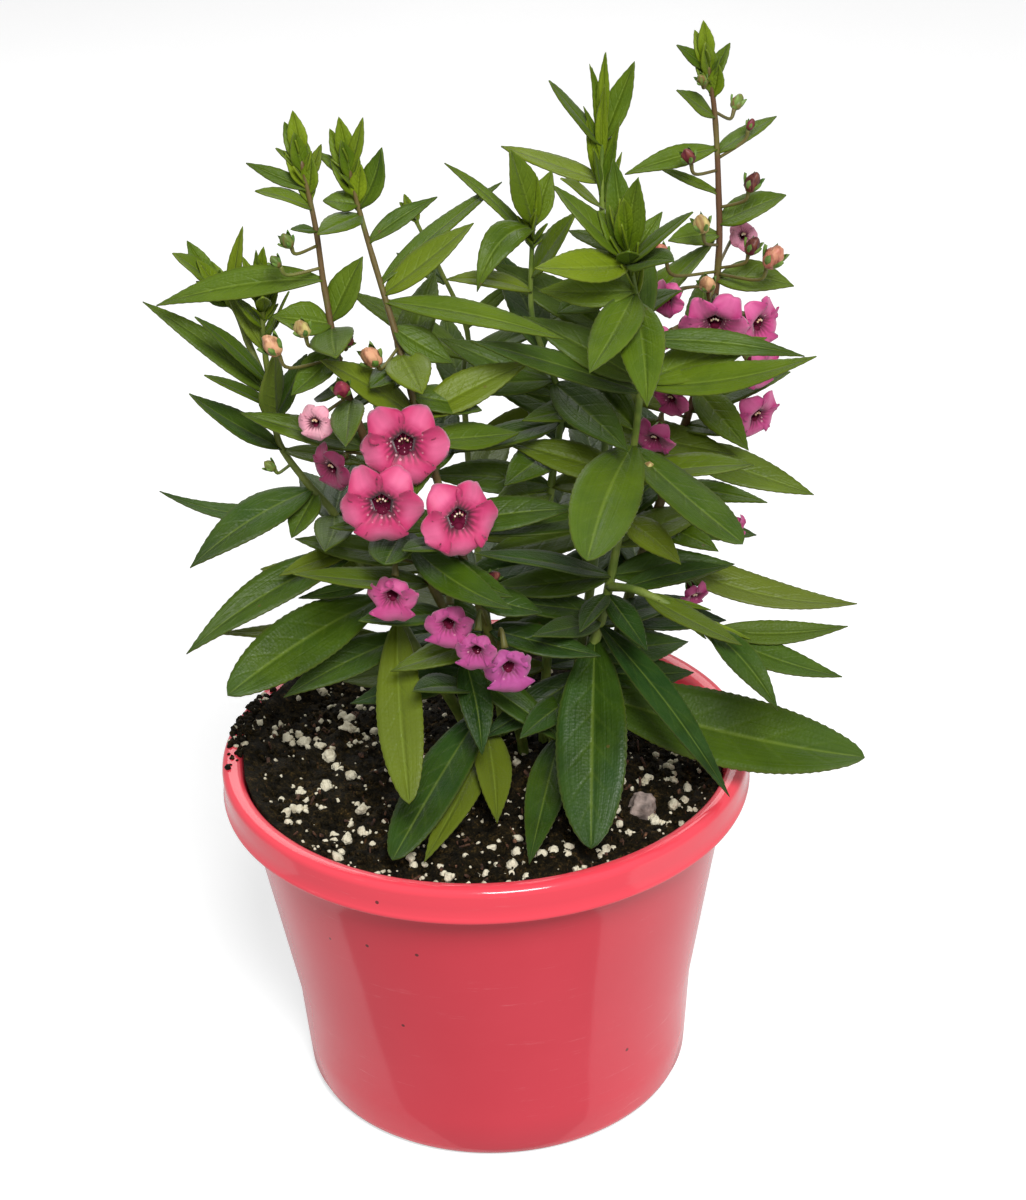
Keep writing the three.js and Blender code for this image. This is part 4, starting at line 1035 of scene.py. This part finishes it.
leaf_top, leaf_back = leaf_skin("leaf_upper_side", True), leaf_skin("leaf_under_side", False)

for offset, (name, shoot) in enumerate(SHOOTS.items()):
    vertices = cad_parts[name].data.vertices
    corners = kdtree.KDTree(len(vertices))
    for i, vertex in enumerate(vertices):
        corners.insert(vertex.co, i)
    corners.balance()
    bm = blank("tone", "youth")
    for row, part, start in zip(stems[name], [shoot, shoot.get("branch")], [offset, 0]):
        count, length, slim, spread = part["apex"]
        listed = []
        for at, across, up, behind, width, *bend in part["leaves"]:
            listed.append((on_stem(row, at), seen(across, up, behind), width, 0, *bend))
        outer = slim * (SLIMMER if length > LONG_STAR else 1)
        listed += [(base, tip, outer, STAR_YOUTH) for base, tip in apex_tips(row, count, length, spread)]
        if "fill" in part:
            *run, broad = part["fill"]
            listed += [(base, tip, broad, 0) for base, tip in fill_tips(row, *run, start)]
        for base, tip, width, youth, *bend in listed:
            end = tip_in_frame(corners, base, tip) or (tip if youth else None)
            if end:
                youth += max(0, min(0.6, (base.z - YOUNG_FROM) / YOUNG_RISE))
                leaf(bm, base, end, width, youth, *bend)
        inner, fan = (0.5 * length, 1.3) if length < SHORT_STAR else (0.8 * length, 0.55)
        for base, tip in apex_tips(row, INNER_LEAVES, inner, fan):
            rise = 0.2 * length * (row[-1] - row[-2]).normalized()
            leaf(bm, base + rise * draws.random(), tip + rise, 0.42 * slim, 1)
    leaves = keep(bm, name + "_leaves", [leaf_top, leaf_back], "foliage", name)
    body = leaves.modifiers.new("thickness", "SOLIDIFY")
    body.thickness, body.offset, body.material_offset = LEAF_THICKNESS * MM, -1, 1

# The blooms
# Two-lipped flowers of five broad, rounded lobes in one piece with the cup behind them: two smaller lobes
# above, three larger ones below. They are pink, with a painted highlight in the middle of each lobe and
# along its edge and painted shade down its sides; the open throat is dark maroon with pale specks, four
# short stamens and a raised lip. Five sepals hold each on its stalk.
PETAL_THICKNESS = 0.35
THROAT = 0.22
STAMEN_RADIUS = 0.16
STAMEN_TURNS = (-60, -20, 20, 60)
ANTHER_RADIUS = 0.32
SEPAL_REACH, SEPAL_SPREAD = 3.2, 1.7
# Each lobe's [angle from the top, reach, spread], the last two as shares of half the bloom's width.
LOBES = [(-35, 0.92, 0.5), (35, 0.92, 0.5), (-104, 0.98, 0.58), (104, 0.98, 0.58), (180, 1.0, 0.64)]
# The section of the cup, up its inside, over its mouth and down its outside: the radius as a share of
# half the bloom's width, and the height along its axis.
CUP = [
    (0.02, -2.9), (0.12, -2.5), (0.19, -1.3), (0.25, 0.1), (0.28, -0.25), (0.27, -1.9), (0.16, -3.7),
    (0.02, -4.4),
]
# A bloom whose listed tilt is below this hangs like a hood: it is lifted and widened, its lowest lobe is
# the largest, and it shows no stamens.
HANGING = -35
HOOD_LIFT = 32
HOOD_WIDTH = 1.15
HOODED_LOBES = [(-38, 0.66, 0.52), (38, 0.66, 0.52), (-100, 0.9, 0.62), (100, 0.9, 0.62), (180, 1.16, 0.9)]
# The blooms that have faded, and the ones that are darker, with how much of each.
PALE = {("left_spire", 1): 0.85, ("right_raceme", 4): 0.5}
DARK = {("left_spire", 2): 0.75, ("right_raceme", 9): 0.5, ("right_raceme", 12): 0.4}

petal_skin, tree, shader = new_finish("petal_skin", 0.6)
shader.inputs["Sheen Weight"].default_value = 0.2
across, along = across_and_along(tree)
side = calc(tree, "ABSOLUTE", calc(tree, "ADD", across, -0.5))
cloud = clouds(tree, 260, 3)
streak = calc(tree, "SINE", calc(tree, "MULTIPLY_ADD", across, 34, calc(tree, "MULTIPLY", cloud, 12)))
reach = calc(tree, "MULTIPLY_ADD", cloud, 0.2, calc(tree, "ADD", along, -0.1))
# Painted highlight: the middle of each lobe is painted a paler pink.
lobe_highlight = calc(tree, "MULTIPLY", band(tree, along, 0.25, 0.6), fading(tree, side, 0.05, 0.4))
pink = mixed(tree, cloud, (176, 24, 82), (212, 58, 118))
pink = tinted(tree, pink, lobe_highlight, 0.5, (240, 122, 166))
# Painted shade: each lobe is painted darker down its sides, where the lobes meet.
pink = tinted(tree, pink, band(tree, side, 0.34, 0.5), 0.5, (140, 14, 66))
lilac = mixed(tree, cloud, (150, 50, 130), (196, 100, 178))
faded = mixed(tree, cloud, (222, 120, 150), (246, 210, 214))
skin = mixed(tree, marked(tree, "purple"), pink, lilac)
skin = mixed(tree, marked(tree, "pale"), skin, faded)
skin = mixed(tree, marked(tree, "dark"), skin, (112, 14, 66))
skin = tinted(tree, skin, band(tree, streak, 0.2, 1), 0.05, (150, 24, 76))
# Painted highlight: each lobe is painted a paler pink along its outer edge.
skin = tinted(tree, skin, band(tree, along, 0.86, 1), 0.3, (232, 112, 160))
inner = fading(tree, reach, 0.08, 0.42)
faint = calc(tree, "MULTIPLY_ADD", marked(tree, "purple"), -0.55, 0.85)
rays = calc(tree, "MULTIPLY", band(tree, streak, -0.8, 0.5), inner)
skin = tinted(tree, skin, rays, faint, (96, 8, 40))
skin = tinted(tree, skin, fading(tree, reach, 0.06, 0.24), faint, (78, 6, 34))
glints = calc(tree, "MULTIPLY", use(tree, specks, Scale=950, Size=0.3, Share=0.25), inner)
skin = tinted(tree, skin, glints, 0.6, (236, 180, 190))
dress(tree, shader, skin, None, calc(tree, "MULTIPLY_ADD", streak, 0.1, cloud), depth=0.4, strength=0.4)

throat_skin, tree, shader = new_finish("throat_skin", 0.75, specular=0.15)
cloud = clouds(tree, 500)
skin = mixed(tree, cloud, (52, 6, 22), (120, 16, 58))
skin = tinted(tree, skin, use(tree, specks, Scale=1400, Size=0.26, Share=0.22), 0.7, (226, 170, 184))
dress(tree, shader, skin, None, cloud, depth=0.4)

pollen_skin, tree, shader = new_finish("anther_skin", 0.7)
dress(tree, shader, mixed(tree, use(tree, patches, Scale=900), (236, 222, 196), (196, 150, 110)))


def lobe(bm, pose, half, angle, reach, spread, layer_lift):
    """One lobe: a grid that widens from the throat to a rounded, slightly ruffled and notched edge."""
    spot, right, up, look = pose
    turn = math.radians(angle + draws.uniform(-4, 4))
    out, side = swung(up, right, turn), swung(right, -up, turn)
    inner, reach = THROAT * half * 0.9, reach * half * draws.uniform(0.93, 1.03)
    ruffle, phase, sweep = draws.uniform(0.05, 0.1), draws.uniform(0, 6), draws.uniform(-0.04, 0.2)
    made = grid(bm, 14, 10)
    for vert in made:
        across, share = vert.co.x, (vert.co.y + 1) / 2
        notch = 0.04 * math.exp(-((across / 0.16) ** 2)) * share ** 5
        round_off = 0.7 * spread * abs(across) ** 2.4 * share + notch
        crimp = 0.015 * math.sin(7 * across + 2 * phase) * share ** 4
        far = inner + (reach - inner) * share * (1 - round_off + crimp)
        wide = 0.17 + (spread - 0.17) * math.sin(min(1, 1.35 * share) * math.pi / 2)
        wide *= half * (1 - 0.2 * share ** 4)
        rise = half * (0.2 * math.sin(math.pi * share) - sweep * share ** 2 + layer_lift * share)
        rise += half * ruffle * share ** 2 * math.sin(3.2 * across + phase)
        rise += half * 0.16 * across ** 2 * share
        vert.co = spot + out * far + side * wide * across + look * rise
    faces = faces_of(made)
    shell = bmesh.ops.solidify(bm, geom=faces, thickness=PETAL_THICKNESS)["geom"]
    return faces + [part for part in shell if isinstance(part, bmesh.types.BMFace)]


def bloom(name, throat, look, width, lobes, pale, dark):
    """One bloom: its lobes, the cup behind them, the stamens and the lip in its throat, and its sepals."""
    bm = blank("purple", "pale", "dark")
    half = width / 2
    right, up = square_to(look)
    purple = 0.35 if "right" in name else min(1, max(0, (182 - throat.z) / 60))
    for angle, reach, spread in lobes:
        lift = 0.1 if angle == 180 else (0.03 if abs(angle) > 90 else -0.05)
        faces = lobe(bm, (throat, right, up, look), half, angle, reach, spread, lift)
        mark(bm, faces, purple=purple, pale=pale, dark=dark)
    run, radii = [throat + look * deep for _, deep in CUP], [half * size for size, _ in CUP]
    set_finish(tube(bm, run, radii, 20, axes=(right, up)), 1)
    for turn in STAMEN_TURNS if lobes is LOBES else ():
        way = swung(up, right, math.radians(turn))
        foot = throat + way * 0.22 * half - look * 1.4
        head = throat + way * 0.1 * half + look * 0.5
        bowed = eased([foot, foot.lerp(head, 0.5) + look * 0.3, head], 3)
        set_finish(tube(bm, bowed, [STAMEN_RADIUS] * len(bowed), 6), 1)
        spot = Matrix.Translation(head)
        anther = bmesh.ops.create_icosphere(bm, subdivisions=1, radius=ANTHER_RADIUS, matrix=spot)["verts"]
        set_finish(faces_of(anther), 2)
    lip = bmesh.ops.create_icosphere(bm, subdivisions=2, radius=0.1 * half)["verts"]
    for vert in lip:
        x, y, z = vert.co
        vert.co = throat - up * 0.26 * half + right * x * 1.5 + up * y * 1.3 + look * (z - 0.2)
    set_finish(faces_of(lip), 1)
    sepals(bm, throat - look * (BLOOM_SEAT + 0.2), look, SEPAL_REACH, SEPAL_SPREAD, 3)
    keep(bm, name + "_corolla", [petal_skin, throat_skin, pollen_skin, sepal_skin], "petals", name)


for name, shoot in SHOOTS.items():
    for count, (at, across, up, behind, turn, tilt, width) in enumerate(shoot["blooms"], 1):
        lobes = LOBES
        if tilt < HANGING:
            tilt, width, lobes = tilt + HOOD_LIFT, HOOD_WIDTH * width, HOODED_LOBES
        throat, look = seen(across, up, behind), facing(turn, tilt)
        pale, dark = PALE.get((name, count), 0), DARK.get((name, count), 0)
        bloom(f"{name}_bloom_{count}", throat, look, width, lobes, pale, dark)

# The studio
# A plain pale floor, one soft box in front and above, a weaker one behind, and the camera where the
# photograph was taken. The pot stands near the front edge of a lit white table, which is what lights it
# from below and what its glossy sides reflect, so its front reflects the darker room.
FLOOR_SIZE = 4
TABLE_EDGE = [(-1100, 20), (-26, -53), (28, -51), (90, -88), (400, -270), (1100, -680)]
TABLE_BACK = 1.4
TABLE_HEIGHT = 0.0002
LIT_POINT = Vector((0, 0, 0.12))
SENSOR = 36
LENS = 78.75
LENS_SHIFT = (0.0225, 0.1417)


def stage_sheet(name, bm, shade, glow):
    """A sheet of the studio, in a plain shade of white and with a glow of its own."""
    white, tree, shader = new_finish(name, 0.7)
    shader.inputs["Emission Color"].default_value = (1, 1, 1, 1)
    shader.inputs["Emission Strength"].default_value = glow
    paper = mixed(tree, use(tree, patches, Scale=3), (shade - 2,) * 3, (shade,) * 3)
    dress(tree, shader, paper)
    sheet = solid(name, bm, white)
    sheet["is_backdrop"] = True
    return sheet


bm = bmesh.new()
bmesh.ops.create_grid(bm, x_segments=1, y_segments=1, size=FLOOR_SIZE)
floor = stage_sheet("floor", bm, shade=252, glow=0.3)
floor.visible_glossy = floor.visible_diffuse = False

bm = bmesh.new()
front = [bm.verts.new((x * MM, y * MM, TABLE_HEIGHT)) for x, y in TABLE_EDGE]
edges = [bm.edges.new(pair) for pair in zip(front, front[1:])]
back = bmesh.ops.extrude_edge_only(bm, edges=edges)["geom"]
for vert in back:
    if isinstance(vert, bmesh.types.BMVert):
        vert.co.y = TABLE_BACK
bmesh.ops.recalc_face_normals(bm, faces=bm.faces)
table = stage_sheet("lit_table", bm, shade=232, glow=0)
table.visible_camera = table.visible_shadow = False

world = bpy.data.worlds.new("studio")
world.use_nodes = True
world.node_tree.nodes["Background"].inputs["Color"].default_value = (1, 1, 1, 1)
world.node_tree.nodes["Background"].inputs["Strength"].default_value = 0.5
bpy.context.scene.world = world
bpy.context.scene.view_settings.view_transform = "Standard"


def soft_box(name, spot, size, power):
    """A lamp with a rectangle for its face, its width and height in metres, turned to the plant."""
    light = bpy.data.lights.new(name, "AREA")
    light.shape, light.size, light.size_y, light.energy = "RECTANGLE", *size, power
    lamp = bpy.data.objects.new(name, light)
    lamp.location = spot
    lamp.rotation_euler = (LIT_POINT - Vector(spot)).to_track_quat("-Z", "Y").to_euler()
    bpy.context.scene.collection.objects.link(lamp)


soft_box("front_box", (0.16, -0.78, 1.0), size=(0.42, 0.42), power=12.5)
soft_box("back_box", (-0.1, 0.95, 0.85), size=(0.8, 0.6), power=3)

roll_side = Vector((math.cos(EYE_ROLL), 0, 0)) + SIGHT_UP * math.sin(EYE_ROLL)
roll_up = Vector((-math.sin(EYE_ROLL), 0, 0)) + SIGHT_UP * math.cos(EYE_ROLL)
turned = Matrix((roll_side, roll_up, SIGHT_BACK)).transposed().to_4x4()
lens = bpy.data.cameras.new("camera")
lens.lens, lens.sensor_width = LENS, SENSOR
lens.shift_x, lens.shift_y = LENS_SHIFT
lens.clip_start, lens.clip_end = 0.01, 20
camera = bpy.data.objects.new("camera", lens)
camera.matrix_world = Matrix.Translation(EYE * MM) @ turned
bpy.context.scene.collection.objects.link(camera)
bpy.context.scene.camera = camera

low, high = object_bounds()
